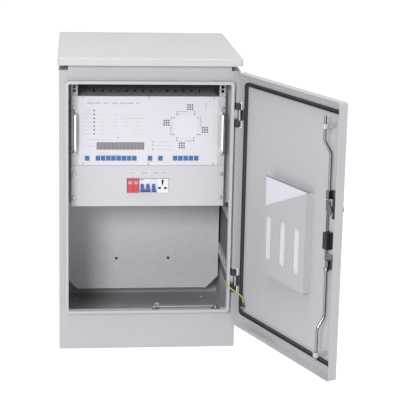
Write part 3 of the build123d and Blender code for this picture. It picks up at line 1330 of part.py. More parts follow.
def lock_case():
    """Black case beside the lower bar, with the key cylinder through the door."""
    x0 = along(LOCK_CASE_ALONG[1])
    x1 = along(LOCK_CASE_ALONG[0])
    y1 = FRONT - LOCK_CASE_OUT
    case = block(x0, x1, SKIN_IN, y1, LOCK_CASE_Z[0], LOCK_CASE_Z[1])
    case = fillet(case.faces().sort_by(Axis.Y)[-1].edges(), LOCK_CASE_EDGE_R)
    seam = LOCK_CASE_SEAM / 2
    for side, near in ((x0, x0 + LOCK_CASE_SEAM), (x1 - LOCK_CASE_SEAM, x1)):
        case -= block(side, near, SKIN_IN + LOCK_CASE_SEAM_RISE, y1 + CUT,
                      LOCK_CASE_SEAM_Z - seam, LOCK_CASE_SEAM_Z + seam)
    case -= block(x0 - CUT, x1 + CUT, y1 - LOCK_CASE_SEAM, y1 + CUT,
                  LOCK_CASE_SEAM_Z - seam, LOCK_CASE_SEAM_Z + seam)
    case += round_y(along(KEY_ALONG), KEY_Z, KEY_R, SKIN_OUT - KEY_PROUD, SKIN_IN + WELD)
    half = KEY_SLOT / 2
    face = SKIN_OUT - KEY_PROUD
    case -= block(along(KEY_ALONG) - half, along(KEY_ALONG) + half, face - CUT, face + KEY_SLOT_DEPTH,
                  KEY_Z - KEY_SLOT_HALF, KEY_Z + KEY_SLOT_HALF)
    return open_door(case)


# Door stay

def stay_rod():
    """Bent round rod with a flat eye, stowed along the sill."""
    y = FRONT - STAY_OUT
    eye = round_z(STAY_PIVOT_X, y, STAY_EYE_R, STAY_Z - STAY_EYE_T / 2, STAY_Z + STAY_EYE_T / 2)
    points = [(STAY_PIVOT_X - STAY_EYE_R + CUT, y, STAY_Z), (STAY_END_X, y, STAY_Z),
              (STAY_END_X, y, STAY_Z - STAY_HOOK)]
    rod = bent_bar(points, STAY_BEND_R, STAY_ROD_R)
    bore = round_z(STAY_PIVOT_X, y, STAY_ROD_R + HINGE_FIT, STAY_Z - STAY_EYE_T, STAY_Z + STAY_EYE_T)
    return eye + rod - bore


def stay_brackets():
    """Pivot bracket and the spring clip that holds the stowed rod, both on the sill."""
    y = FRONT - STAY_OUT
    low = STAY_Z - STAY_EYE_T / 2 - STAY_GAP
    high = STAY_Z + STAY_EYE_T / 2 + STAY_GAP
    half = STAY_PLATE_DEPTH / 2
    pivot = block(STAY_PIVOT_X - STAY_PLATE_HALF, STAY_PIVOT_X + STAY_PLATE_HALF, y - half, y + half,
                  SILL, SILL + STAY_PLATE_T)
    pivot += round_z(STAY_PIVOT_X, y, STAY_HEAD_R, SILL, low)
    pivot += round_z(STAY_PIVOT_X, y, STAY_ROD_R, SILL, high + STAY_HEAD_T)
    pivot += round_z(STAY_PIVOT_X, y, STAY_HEAD_R, high, high + STAY_HEAD_T)
    x0, x1 = CLIP_X
    t = CLIP_SHEET
    gap = STAY_ROD_R + STAY_GAP
    clip = block(x0, x1, y + gap, y + gap + t, SILL, SILL + CLIP_RISE)
    clip += block(x0, x1, y - gap, y + gap + t, SILL, SILL + t)
    clip += block(x0, x1, y - gap, y + gap + t, STAY_Z - gap - t, STAY_Z - gap)
    clip += block(x0, x1, y - gap, y + gap + t, STAY_Z + gap, STAY_Z + gap + t)
    return group([pivot, clip])


# Earth lead

def earth_terminal(off, reach):
    """Stud along +Z from the origin, with a collar, ring lug and nut; the lug's barrel points along +X."""
    top = off + LUG_T
    stud = round_z(0, 0, STUD_R, 0, reach)
    collar = round_z(0, 0, LUG_R, 0, off)
    lug = round_z(0, 0, LUG_R, off, top)
    neck = LUG_R + LUG_NECK
    half = LUG_BARREL_R - LUG_OVERLAP / 2
    lug += block(0, neck, -half, half, off, top)
    start = neck - LUG_OVERLAP
    lug += round_x(0, off + LUG_T / 2, LUG_BARREL_R, start, start + LUG_BARREL)
    lug -= round_z(0, 0, STUD_R + STUD_FIT, off - CUT, top + CUT)
    nut = Pos(0, 0, top) * hexagon_nut(NUT_FLATS, STUD_R + STUD_FIT, NUT_T)
    return [stud + collar, lug, nut]


def earth_terminal_cabinet():
    """Terminal on the lowest right depth rail, its barrel to the front."""
    z = RAIL_FOOTS[0] + RAIL_HEIGHT / 2
    place = Plane(origin=(RAIL_FACE, FRONT + CABINET_STUD_SETBACK, z), x_dir=(0, -1, 0), z_dir=(-1, 0, 0))
    pieces = earth_terminal(CABINET_LUG_OFF, CABINET_STUD_REACH)
    return group([place * piece for piece in pieces])


def earth_terminal_door():
    """Terminal on the door skin, its barrel upward."""
    place = Plane(origin=(along(DOOR_STUD_ALONG), SKIN_IN, DOOR_STUD_Z), x_dir=(0, 0, 1), z_dir=(0, 1, 0))
    pieces = earth_terminal(DOOR_LUG_OFF, DOOR_STUD_REACH)
    return group([open_door(place * piece) for piece in pieces])


def wire_points():
    """The two lug mouths and the chosen points between them."""
    reach = LUG_R + LUG_NECK + LUG_BARREL - LUG_OVERLAP
    mid = LUG_T / 2
    start_x = RAIL_FACE - CABINET_LUG_OFF - mid
    start_y = FRONT + CABINET_STUD_SETBACK - reach
    start_z = RAIL_FOOTS[0] + RAIL_HEIGHT / 2
    start = [(start_x, start_y, start_z), (start_x, start_y - WIRE_EXIT, start_z)]
    sx = DOOR_STUD_ALONG
    sy = DOOR_LUG_OFF + mid + SKIN_IN - HINGE_Y
    c = math.cos(math.radians(DOOR_OPEN))
    s = math.sin(math.radians(DOOR_OPEN))
    end_x = HINGE_X - sx * c - sy * s
    end_y = HINGE_Y - sx * s + sy * c
    end_z = DOOR_STUD_Z + reach
    middle = [(x, FRONT + y, z) for x, y, z in WIRE_ROUTE]
    return start + middle + [(end_x, end_y, end_z + WIRE_ENTRY), (end_x, end_y, end_z)]


def earth_wire():
    """Round wire of straight runs joined by arcs as large as the runs allow."""
    points = [Vector(*point) for point in wire_points()]
    radii = []
    for index in range(1, len(points) - 1):
        before = points[index] - points[index - 1]
        after = points[index + 1] - points[index]
        turn = math.radians(before.get_angle(after))
        radii.append(WIRE_ARC_SHARE * min(before.length, after.length) / math.tan(turn / 2))
    path = FilletPolyline(*points, radius=radii)
    return sweep(Plane(origin=path @ 0, z_dir=path % 0) * Circle(WIRE_R), path=path)


def all_parts():
    """Every sub-part by name."""
    parts = {
        "cabinet_shell": cabinet_shell(),
        "front_frame": front_frame(),
        "roof_cap": roof_cap(),
        "cabinet_screws": cabinet_screws(),
        "mounting_plate": mounting_plate(),
        "plate_standoffs": plate_standoffs(),
        "depth_rails": depth_rails(),
        "rack_uprights": rack_uprights(),
        "cage_nuts": cage_nuts(),
        "panel_screws": panel_screws(),
        "controller_front_panel": controller_front_panel(),
        "controller_overlay": controller_overlay(),
        "controller_chassis": controller_chassis(),
        "front_board": front_board(),
        "indicator_lamps": indicator_lamps(),
        "display_module": display_module(),
        "controller_handles": controller_handles(),
        "power_panel": power_panel(),
        "din_rail": din_rail(),
        "surge_arrester": surge_arrester(),
        "breaker_two_pole": breaker(BREAKER_TWO_X, 2),
        "toggle_two_pole": toggle(BREAKER_TWO_X, 2, TOGGLE_GRIP_TWO),
        "breaker_one_pole": breaker(BREAKER_ONE_X, 1),
        "toggle_one_pole": toggle(BREAKER_ONE_X, 1, TOGGLE_GRIP_ONE),
        "socket_outlet": socket_outlet(),
        "hinge_frame_plates": hinge_frame_plates(),
        "hinge_blocks": hinge_blocks(),
        "hinge_door_leaves": hinge_door_leaves(),
        "door_pan": door_pan(),
        "door_seal": door_seal(),
        "document_pocket": document_pocket(),
        "papers": papers(),
        "lock_case": lock_case(),
        "lock_crank": lock_crank(),
        "door_handle": door_handle(),
        "upper_rod": upper_rod(),
        "lower_rod": lower_rod(),
        "rod_guides": rod_guides(),
        "stay_rod": stay_rod(),
        "stay_brackets": stay_brackets(),
        "earth_wire": earth_wire(),
        "earth_terminal_cabinet": earth_terminal_cabinet(),
        "earth_terminal_door": earth_terminal_door(),
    }
    for index, x in enumerate(BUTTON_X):
        parts[f"button_{index + 1:02d}"] = push_button(x)
    return parts


os.makedirs("parts", exist_ok=True)
for name, shape in all_parts().items():
    export_step(shape, f"parts/{name}.step")
print("sub-parts written", len(os.listdir("parts")))
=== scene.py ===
"""Roadside cabinet of a traffic signal controller: its finishes, markings, papers, earth lead and studio."""

import math

import bpy
from bpy.props import FloatProperty, FloatVectorProperty, IntProperty, PointerProperty
from mathutils import Matrix, Vector


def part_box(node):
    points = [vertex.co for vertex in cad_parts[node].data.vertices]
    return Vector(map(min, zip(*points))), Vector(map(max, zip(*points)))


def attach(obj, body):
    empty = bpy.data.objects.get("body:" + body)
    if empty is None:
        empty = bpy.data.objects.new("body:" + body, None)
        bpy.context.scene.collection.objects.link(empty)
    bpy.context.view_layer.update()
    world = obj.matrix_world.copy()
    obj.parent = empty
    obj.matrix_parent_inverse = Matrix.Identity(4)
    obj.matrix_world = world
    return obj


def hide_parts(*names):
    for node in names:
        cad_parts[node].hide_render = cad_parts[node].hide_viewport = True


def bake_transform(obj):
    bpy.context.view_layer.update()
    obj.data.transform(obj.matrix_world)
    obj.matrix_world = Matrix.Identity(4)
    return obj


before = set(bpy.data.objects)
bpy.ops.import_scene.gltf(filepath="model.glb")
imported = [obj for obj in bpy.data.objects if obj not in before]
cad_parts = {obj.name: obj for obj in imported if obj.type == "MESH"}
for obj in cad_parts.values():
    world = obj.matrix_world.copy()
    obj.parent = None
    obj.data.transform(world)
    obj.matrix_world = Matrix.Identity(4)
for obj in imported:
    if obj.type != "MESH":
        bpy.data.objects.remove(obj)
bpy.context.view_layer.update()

bl_info = {
    "name": "Traffic Signal Controller",
    "version": (1, 0, 0),
    "blender": (4, 5, 0),
    "location": "View3D > Sidebar > Controller",
    "description": "Finishes, markings, papers, earth lead and studio of a roadside signal controller",
    "category": "Object",
}

MM = 0.001

# Faces that carry the markings, as Y in millimetres: a lower one lies further forward
OVERLAY_FACE = -215.5
DISPLAY_FACE = -215.1
PANEL_FACE = -214.0
NOSE_FACE = -218.0
PLUG_FACE = -220.0

# The open door: its hinge axis, the way from hinge to lock, the way into it, and the depth of its skin
DOOR_PIVOT = Vector((277.5, -292.5, 0.0))
DOOR_ALONG = Vector((0.400349, -0.916363, 0.0))
DOOR_INWARD = Vector((-0.916363, -0.400349, 0.0))
PIVOT_DEPTH = 17.5

# Where two finishes of one sub-part meet, in millimetres
BOARD_FACE = -203.7
STATUS_LAMPS_RIGHT = -165.0
ARRESTER_BASE_FACE = -197.6
# Below this height the upper rod is black: its black plate, and painted shade for the shadow beside the
# crank's chrome ball.
BLACK_AND_SHADE_TOP = 620.0
KEY_RIM_DEPTH = 3.0

# Lowest and highest corner of each box that has a finish of its own, in millimetres
# The box inside the cabinet above the sill holds painted shade: its walls and top get a darker colour for the
# little light that reaches them.
SHADED_INSIDE_BOX = ((-279.2, -273.6, 133.0), (279.2, 274.0, 899.4))
# Within the socket's slots the plastic is near-black: black shutters behind them, and painted shade on the
# slot walls.
SOCKET_SLOT_BOX = ((28.8, -217.2, 500.2), (63.8, -190.0, 542.2))
TERMINAL_BARREL_BOXES = {
    "cabinet": ((255.0, -204.0, 190.0), (276.0, -186.0, 211.0)),
    "door": ((285.0, -345.0, 152.0), (316.0, -305.0, 170.0)),
}
CABINET_FOOT_BOX = ((-279.0, -274.0, -50.0), (279.0, 274.0, 50.0))

# Crossing diagram: its field's middle, half width and cut corner, bars (left, right, foot, top) and arrows
DIAGRAM_MIDDLE = (117.8, 714.3)
FIELD_HALF, FIELD_CORNER = 37.0, 13.0
ROAD_LINES = (
    (94.5, 120.5, 760.45, 761.55), (69.45, 70.55, 690.5, 716.5), (115.5, 141.0, 665.95, 667.05),
    (164.45, 165.55, 712.0, 737.0), (179.9, 181.1, 779.0, 785.0), (180.0, 181.0, 762.0, 764.0),
    (-158.0, -89.0, 619.85, 620.75),
)
ARROW_X, ARROW_LEVELS, ARROW_REACH = 180.5, (776.8, 786.6), 2.3

# Bars in the places of the lettering: the title's words, rows of labels, and single lines
TITLE_WORDS = (23.4, 15.6, 17.16, 20.28, 23.4, 18.72, 10.92)
TITLE_LEFT, TITLE_STEP, TITLE_FOOT, TITLE_TOP = -192.0, 25.2, 784.6, 788.6
ROW_LEFT, ROW_RIGHT, ROW_LEVEL, ROW_STEP = -202.0, -180.0, 763.5, 12.4
ROW_SHORTER, LAMP_LABEL_HALF, LABEL_HALF = 3.0, 0.6, 0.55
# Ends of the words in each row, counted in steps along the row, with the first step, its X and a step's width
ROW_STEP_FIRST, ROW_STEP_X, ROW_STEP_WIDTH = 138, -170.4, 0.3635
LABEL_ROWS = (
    (),
    ((185, 220), (310, 345), (430, 470), (540, 570)),
    ((365, 565),),
    ((185, 220), (295, 340), (380, 430), (490, 560)),
    ((185, 220), (295, 345), (380, 430), (480, 550)),
    ((185, 220), (480, 550)),
    ((185, 220), (315, 360), (465, 560)),
)
SINGLE_LINES = (
    (-193.0, -111.0, 670.4, 671.4), (-202.0, -169.5, 649.6, 650.8), (-158.0, -122.0, 628.0, 629.0),
    (23.5, 78.0, 663.8, 664.8), (23.5, 76.0, 651.5, 652.5), (23.5, 81.0, 639.1, 640.1),
    (74.25, 74.95, 688.0, 737.0), (155.65, 156.35, 688.0, 737.0), (92.0, 142.0, 752.25, 752.95),
    (92.0, 142.0, 675.45, 676.15), (-8.0, 24.0, 598.8, 599.8), (-205.6, -205.0, 606.0, 790.0),
    (205.0, 205.6, 606.0, 790.0),
)

# Display digits: how many, the first one's middle, their step and level, then a digit's own sizes
DIGITS, DIGIT_START, DIGIT_STEP, DIGIT_LEVEL = 12, -154.0, 12.0, 650.2
DIGIT_RISE, DIGIT_HALF, DIGIT_STROKE = 8.0, 3.1, 1.3
SEGMENT_SETBACK, SEGMENT_GAP = 0.4, 0.3

# Label strip over the modules, and the print on the breakers
LABEL_ENDS = ((-66.0, -22.6), (-19.4, 8.4), (11.6, 35.4), (38.6, 66.0))
LABEL_FOOT, LABEL_TOP, LABEL_RIM = 555.4, 569.0, 0.7
LABEL_CORNER, CARD_CORNER = 3.4, 2.8
LABEL_WORDS = (
    (-16.5, -13.0, 560.8, 563.8), (-11.0, -2.0, 561.2, 563.4), (14.0, 19.0, 561.2, 563.4),
    (20.5, 31.0, 561.2, 563.4), (42.0, 60.0, 561.4, 563.0), (-60.0, -38.0, 561.6, 562.8),
)
BREAKER_HEADING = ((-25.5, -14.0, 539.0, 543.0),)
BREAKER_PRINT = (
    (14.0, 24.5, 540.6, 543.0), (-0.6, 1.4, 529.0, 533.2), (19.6, 21.0, 530.0, 533.0),
    (-24.0, -13.5, 532.0, 532.8), (-24.0, -16.0, 529.6, 530.3), (-9.55, -9.15, 499.5, 543.5),
)

# Arrester windows: middles of the plug-in modules, a window's half width, heights over the modules' middle
MODULE_MIDDLE = 521.2
PLUG_MIDDLES, WINDOW_HALF = (-55.95, -37.55), 6.4
# The last pair gives the heights of a pale pink band above the windows, which is a painted highlight.
WINDOW_RISE, WINDOW_SINK, WINDOW_EDGE, PAINTED_HIGHLIGHT_RISE = (6.1, 12.5), (0.1, 0.7), 0.25, (14.2, 16.0)

# Leaves in the pocket, from the hinge outward and by depth on the closed door, and their binder
LEAF_BACK, LEAF_FRONT, LEAF_RISE = -11.2, -6.1, 7.5
LEAF_NEAR, LEAF_FAR, NEAR_SHIFT, FAR_SHIFT = 184.8, 404.2, 0.8, 1.6
LEAF_DROPS = (0.0, 4.0, 1.5, 6.0, 2.5, 5.0)
LEAF_FOOT_GAP = 0.3
LEAF_CUTS, RIPPLE_SIZE, RIPPLE_HEIGHT = 10, 90.0, 0.3
BINDER_ENDS, BINDER_SINK, BINDER_DROPS, BINDER_EDGE = (-404.0, -185.0), (0.05, 0.45), (2.6, 0.2), 0.12

# The earth lead's route between its two lug mouths, in millimetres
LEAD_ROUTE = (
    (265.25, -199.0, 200.5), (265.25, -212.0, 200.5), (263.0, -225.0, 203.0), (257.5, -238.0, 208.0),
    (251.5, -251.5, 213.5), (247.0, -265.5, 218.5), (244.8, -280.5, 222.0), (245.0, -295.0, 222.5),
    (248.5, -308.0, 219.5), (256.5, -317.5, 213.0), (267.0, -321.0, 205.5), (279.0, -321.0, 198.0),
    (289.5, -322.5, 191.0), (297.0, -324.5, 183.0), (300.62, -326.05, 174.0), (300.62, -326.05, 165.0),
)
GREEN_FROM, LEAD_TWIST = 0.35, 0.02

# Name, place and side in metres, and watts of each soft lamp, and the point that all of them face
LAMPS = (
    ("key", (-1.2, -4.4, 2.0), 0.9, 98.0),
    ("fill", (2.2, -4.0, 1.4), 2.0, 13.0),
    ("top", (-0.3, -0.8, 3.8), 2.2, 52.0),
)
LAMP_AIM = Vector((0.05, -0.1, 0.5))
ROOM_LIGHT, SEEN_LIGHT, FLOOR_GLOW = 0.42, 1.0, 0.75
FLOOR_SIDE, FLOOR_MIDDLE = 60.0, (0.0, 8.0, 0.0)

# The photograph's camera: frame side, focal length and optical axis in pixels, place in metres and axes
FRAME_SIDE = 400.0
FOCAL_LENGTH = 1349.12
AXIS_X, AXIS_Y = 218.378, 151.374
SENSOR_WIDTH = 36.0
CAMERA_PLACE = (-0.234642, -4.369538, 1.562245)
CAMERA_RIGHT = Vector((0.99428682, -0.10420692, 0.02312208))
CAMERA_UP = Vector((0.00019135, 0.21835763, 0.97586880))
CAMERA_AHEAD = Vector((0.10674117, 0.97028906, -0.21713005))


def linear(code):
    """An sRGB hex colour as linear red, green and blue."""
    values = [int(code[i:i + 2], 16) / 255 for i in (0, 2, 4)]
    return tuple(v / 12.92 if v <= 0.04045 else ((v + 0.055) / 1.055) ** 2.4 for v in values)


def colour_property(name, description, code):
    """A colour that the user can change, with its default as a hex value."""
    return FloatVectorProperty(name=name, description=description, subtype="COLOR", size=3,
                               min=0.0, max=1.0, default=linear(code))


def size_property(name, description, millimetres):
    """A length that the user can change, with its default in millimetres."""
    return FloatProperty(name=name, description=description, subtype="DISTANCE", unit="LENGTH",
                         min=0.0, default=millimetres * MM)


class ControllerColours(bpy.types.PropertyGroup):
    """Colours of the cabinet and the things in it."""

    coat: colour_property("Powder coat", "Light grey coat of the body and door", "C3C2C6")
    # The roof cap has the body's coat, and its lighter colour is painted light for its brightly lit top.
    roof: colour_property("Roof coat", "Lighter copy of the body coat, painted light for the lit roof", "CBCACC")
    plate: colour_property("Mounting plate", "Zinc-coated plate at the back", "E4E4EA")
    overlay: colour_property("Overlay", "White face of the controller", "E1E1E8")
    button: colour_property("Push buttons", "Blue button caps", "3B6FAA")
    toggle: colour_property("Toggles", "Blue breaker toggles", "4459A2")
    arrester: colour_property("Arrester", "Red plug-in modules", "CE4A62")
    print_dark: colour_property("Dark print", "Lines of the crossing diagram", "6E6E78")
    print_pale: colour_property("Pale print", "Label lines", "BDBDC6")
    paper: colour_property("Papers", "Documents in the door pocket", "E2E2EC")
    # The inside colour is painted shade: a darker coat for the poorly lit walls inside the cabinet.
    inside: colour_property("Inside", "Painted shade inside the cabinet", "74757B")


class ControllerSizes(bpy.types.PropertyGroup):
    """Sizes of the pieces that are added to the frame."""

    lead_radius: size_property("Lead radius", "Radius of the earth lead over its jacket", 2.3)
    print_thickness: size_property("Print thickness", "How far a printed mark stands off its face", 0.12)
    sheet_thickness: size_property("Sheet thickness", "Thickness of one leaf of the documents", 0.45)
    sheets: IntProperty(name="Sheets", description="Leaves in the pocket", default=6, min=1, max=12)


def colours():
    """The colours that the panel holds."""
    return bpy.context.scene.controller_colours


def sizes():
    """The sizes that the panel holds."""
    return bpy.context.scene.controller_sizes


# Materials

def add(tree, kind, links=None, **settings):
    """A node with its settings, and its inputs set to a value or joined to another node's output."""
    made = tree.nodes.new(kind)
    for key, value in settings.items():
        setattr(made, key, value)
    for socket, value in (links or {}).items():
        if isinstance(value, bpy.types.NodeSocket):
            tree.links.new(value, made.inputs[socket])
        else:
            made.inputs[socket].default_value = value
    return made


def blank(name):
    """A material with its output and a Principled shader."""
    material = bpy.data.materials.new(name)
    material.use_nodes = True
    tree = material.node_tree
    tree.nodes.clear()
    shader = add(tree, "ShaderNodeBsdfPrincipled")
    add(tree, "ShaderNodeOutputMaterial", {"Surface": shader.outputs[0]})
    return material, tree, shader


def places(tree):
    """Object coordinates in metres."""
    return add(tree, "ShaderNodeTexCoord").outputs["Object"]


def seen_rays(tree):
    """1 for what the camera or a glossy surface sees, 0 for the light that falls on things."""
    kinds = add(tree, "ShaderNodeLightPath").outputs
    seen = {0: kinds["Is Camera Ray"], 1: kinds["Is Glossy Ray"]}
    return add(tree, "ShaderNodeMath", seen, operation="MAXIMUM").outputs[0]


def grain(tree, millimetres, detail=3.0):
    """Noise whose lumps are about as wide as the given size."""
    scale = 1.0 / (millimetres * MM)
    return add(tree, "ShaderNodeTexNoise", {"Vector": places(tree), "Scale": scale, "Detail": detail})


def relief(tree, shader, height, depth, strength):
    """A bump on the shader, depth in millimetres."""
    bump = add(tree, "ShaderNodeBump", {"Height": height, "Distance": depth * MM, "Strength": strength})
    tree.links.new(bump.outputs[0], shader.inputs["Normal"])


def tinted(tree, shader, colour, factor, spread):
    """Base colour that drifts between slightly darker and slightly lighter."""
    low = tuple(max(0.0, c * (1 - spread)) for c in colour) + (1.0,)
    high = tuple(min(1.0, c * (1 + spread)) for c in colour) + (1.0,)
    mix = add(tree, "ShaderNodeMix", {"Factor": factor, 6: low, 7: high}, data_type="RGBA")
    tree.links.new(mix.outputs[2], shader.inputs["Base Color"])


def inside(tree, low, high):
    """1 within a box given in millimetres, 0 outside it."""
    middle = tuple((a + b) / 2 * MM for a, b in zip(low, high))
    half = tuple((b - a) / 2 * MM for a, b in zip(low, high))
    shift = add(tree, "ShaderNodeVectorMath", {0: places(tree), 1: middle}, operation="SUBTRACT")
    away = add(tree, "ShaderNodeVectorMath", {0: shift.outputs[0]}, operation="ABSOLUTE")
    past = add(tree, "ShaderNodeVectorMath", {0: away.outputs[0], 1: half}, operation="SUBTRACT")
    split = add(tree, "ShaderNodeSeparateXYZ", {0: past.outputs[0]})
    wide = add(tree, "ShaderNodeMath", {0: split.outputs[0], 1: split.outputs[1]}, operation="MAXIMUM")
    most = add(tree, "ShaderNodeMath", {0: wide.outputs[0], 1: split.outputs[2]}, operation="MAXIMUM")
    return add(tree, "ShaderNodeMath", {0: most.outputs[0], 1: 0.0}, operation="LESS_THAN").outputs[0]


def powder_coat(name, colour):
    """Polyester powder coat, sprayed and baked: satin, with a fine orange peel of about 2.5 mm."""
    material, tree, shader = blank(name)
    shader.inputs["Roughness"].default_value = 0.42
    shader.inputs["Specular IOR Level"].default_value = 0.42
    tinted(tree, shader, colour, grain(tree, 160.0, 2.0).outputs[0], 0.018)
    relief(tree, shader, grain(tree, 2.5).outputs[0], 0.06, 0.35)
    return material


def zinc_sheet(name, colour):
    """Hot-dip zinc on rolled sheet: dull metal with a faint spangle about 9 mm across."""
    material, tree, shader = blank(name)
    shader.inputs["Metallic"].default_value = 0.12
    shader.inputs["Roughness"].default_value = 0.46
    cells = add(tree, "ShaderNodeTexVoronoi", {"Vector": places(tree), "Scale": 1.0 / (9.0 * MM)})
    tinted(tree, shader, colour, cells.outputs["Color"], 0.035)
    relief(tree, shader, grain(tree, 3.0).outputs[0], 0.03, 0.2)
    return material


def bright_metal(name, colour, roughness, lump):
    """Plated steel: mirror-like or satin metal whose gloss varies a little where it was handled."""
    material, tree, shader = blank(name)
    shader.inputs["Metallic"].default_value = 1.0
    handled = grain(tree, lump).outputs[0]
    low, high = roughness * 0.7, roughness * 1.4
    gloss = add(tree, "ShaderNodeMapRange", {"Value": handled, "To Min": low, "To Max": high})
    tree.links.new(gloss.outputs[0], shader.inputs["Roughness"])
    tinted(tree, shader, colour, grain(tree, lump * 2.5).outputs[0], 0.04)
    relief(tree, shader, grain(tree, lump).outputs[0], 0.02, 0.2)
    return material


def moulded(name, colour, roughness, lump=0.9, spread=0.02):
    """Moulded plastic or rubber: its mould's fine texture, drawn coarser than the real 0.2 mm to show."""
    material, tree, shader = blank(name)
    shader.inputs["Roughness"].default_value = roughness
    tinted(tree, shader, colour, grain(tree, 14.0).outputs[0], spread)
    relief(tree, shader, grain(tree, lump, 2.0).outputs[0], 0.05, 0.3)
    return material


def pair(tree, shader, mask, near, far, roughness, metallic):
    """Two finishes with one fine texture: near where the mask is 0 and far where it is 1."""
    mix = add(tree, "ShaderNodeMix", {"Factor": mask, 6: near + (1.0,), 7: far + (1.0,)}, data_type="RGBA")
    tree.links.new(mix.outputs[2], shader.inputs["Base Color"])
    for socket, values in (("Roughness", roughness), ("Metallic", metallic)):
        if values[0] == values[1]:
            shader.inputs[socket].default_value = values[0]
            continue
        shift = add(tree, "ShaderNodeMapRange", {"Value": mask, "To Min": values[0], "To Max": values[1]})
        tree.links.new(shift.outputs[0], shader.inputs[socket])
    relief(tree, shader, grain(tree, 0.9, 2.0).outputs[0], 0.04, 0.25)


def two_tone(name, near, far, direction, offset, roughness, metallic=(0.0, 0.0)):
    """Two finishes of one sub-part, divided at an offset in millimetres along a direction."""
    material, tree, shader = blank(name)
    along = {0: places(tree), 1: tuple(direction)}
    reach = add(tree, "ShaderNodeVectorMath", along, operation="DOT_PRODUCT").outputs["Value"]
    side = add(tree, "ShaderNodeMath", {0: reach, 1: offset * MM}, operation="GREATER_THAN")
    pair(tree, shader, side.outputs[0], near, far, roughness, metallic)
    return material


def lined(name, outer, inner, box, roughness, metallic=(0.0, 0.0)):
    """A finish with another one within a box: a lug's sleeve, the socket's near-black slots, and the
    cabinet's inside darkened as painted shade.
    """
    material, tree, shader = blank(name)
    pair(tree, shader, inside(tree, *box), outer, inner, roughness, metallic)
    return material


def lead_jacket(name):
    """Two-coloured PVC jacket: a green band along a yellow wire, by the attribute that goes round it."""
    material, tree, shader = blank(name)
    shader.inputs["Roughness"].default_value = 0.38
    turn = add(tree, "ShaderNodeAttribute", attribute_name="round_lead")
    band = add(tree, "ShaderNodeMath", {0: turn.outputs["Fac"], 1: GREEN_FROM}, operation="GREATER_THAN")
    yellow, green = linear("B9B15A") + (1.0,), linear("7C9C58") + (1.0,)
    mix = add(tree, "ShaderNodeMix", {"Factor": band.outputs[0], 6: yellow, 7: green}, data_type="RGBA")
    tree.links.new(mix.outputs[2], shader.inputs["Base Color"])
    relief(tree, shader, grain(tree, 1.2, 2.0).outputs[0], 0.04, 0.25)
    return material


def cover(material, *nodes):
    """Give CAD nodes a material."""
    for name in nodes:
        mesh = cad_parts[name].data
        mesh.materials.clear()
        mesh.materials.append(material)


# Modelling helpers

def deselect():
    """Nothing selected, in object mode."""
    if bpy.context.mode != "OBJECT":
        bpy.ops.object.mode_set(mode="OBJECT")
    bpy.ops.object.select_all(action="DESELECT")


def at_origin(piece):
    """Move the piece's place into its mesh."""
    deselect()
    piece.select_set(True)
    bpy.context.view_layer.objects.active = piece
    bpy.ops.object.transform_apply(location=True, rotation=True, scale=True)


def dress(piece, name, material, body):
    """Name a finished piece, give it a material and a slot, and let it ride."""
    piece.name = name
    piece.data.name = name
    piece.data.materials.clear()
    piece.data.materials.append(material)
    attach(piece, body)
    return piece


def joined(pieces):
    """Several meshes as one object."""
    deselect()
    for piece in pieces:
        piece.select_set(True)
    bpy.context.view_layer.objects.active = pieces[0]
    bpy.ops.object.join()
    return pieces[0]


def bevelled(piece, width):
    """A rounded bevel on every sharp edge, applied."""
    deselect()
    piece.select_set(True)
    bpy.context.view_layer.objects.active = piece
    modifier = piece.modifiers.new("edges", "BEVEL")
    modifier.width = width * MM
    modifier.segments = 2
    modifier.limit_method = "ANGLE"
    bpy.ops.object.modifier_apply(modifier="edges")
    return piece


def brick(x0, x1, y0, y1, z0, z1):
    """A cube primitive at a size and place in millimetres, its place in its mesh."""
    deselect()
    middle = ((x0 + x1) / 2 * MM, (y0 + y1) / 2 * MM, (z0 + z1) / 2 * MM)
    bpy.ops.mesh.primitive_cube_add(size=1, location=middle)
    piece = bpy.context.object
    piece.scale = ((x1 - x0) * MM, (y1 - y0) * MM, (z1 - z0) * MM)
    at_origin(piece)
    return piece


def cornered(piece, width, segments=1):
    """Cut or round the corners of a flat piece: a bevel on its edges along Y."""
    deselect()
    bpy.context.view_layer.objects.active = piece
    bpy.ops.object.mode_set(mode="EDIT")
    bpy.ops.mesh.select_mode(type="EDGE")
    bpy.ops.mesh.select_all(action="DESELECT")
    bpy.ops.object.mode_set(mode="OBJECT")
    spots = piece.data.vertices
    for edge in piece.data.edges:
        a, b = (spots[i].co for i in edge.vertices)
        edge.select = abs(a.y - b.y) > 1e-5
    bpy.ops.object.mode_set(mode="EDIT")
    bpy.ops.mesh.bevel(offset=width * MM, segments=segments, affect="EDGES")
    bpy.ops.object.mode_set(mode="OBJECT")
    return piece


def mark(x0, x1, z0, z1, face):
    """A flat printed mark that stands a little off a front face."""
    return brick(x0, x1, face - sizes().print_thickness / MM, face, z0, z1)


def printed(bars, face, name, material, shapes=()):
    """Printed bars (left, right, foot, top) and other flat shapes as one piece on the cabinet's rack."""
    pieces = [mark(*bar, face) for bar in bars] + list(shapes)
    return dress(joined(pieces), name, material, "cabinet")


def arrow_head(x, z, reach, face):
    """A printed triangle that points up."""
    deselect()
    thick = sizes().print_thickness
    bpy.ops.mesh.primitive_cylinder_add(vertices=3, radius=reach * MM, depth=thick,
                                        location=(x * MM, face * MM - thick / 2, z * MM),
                                        rotation=(math.radians(90), 0, 0))
    piece = bpy.context.object
    at_origin(piece)
    return piece


# Operators

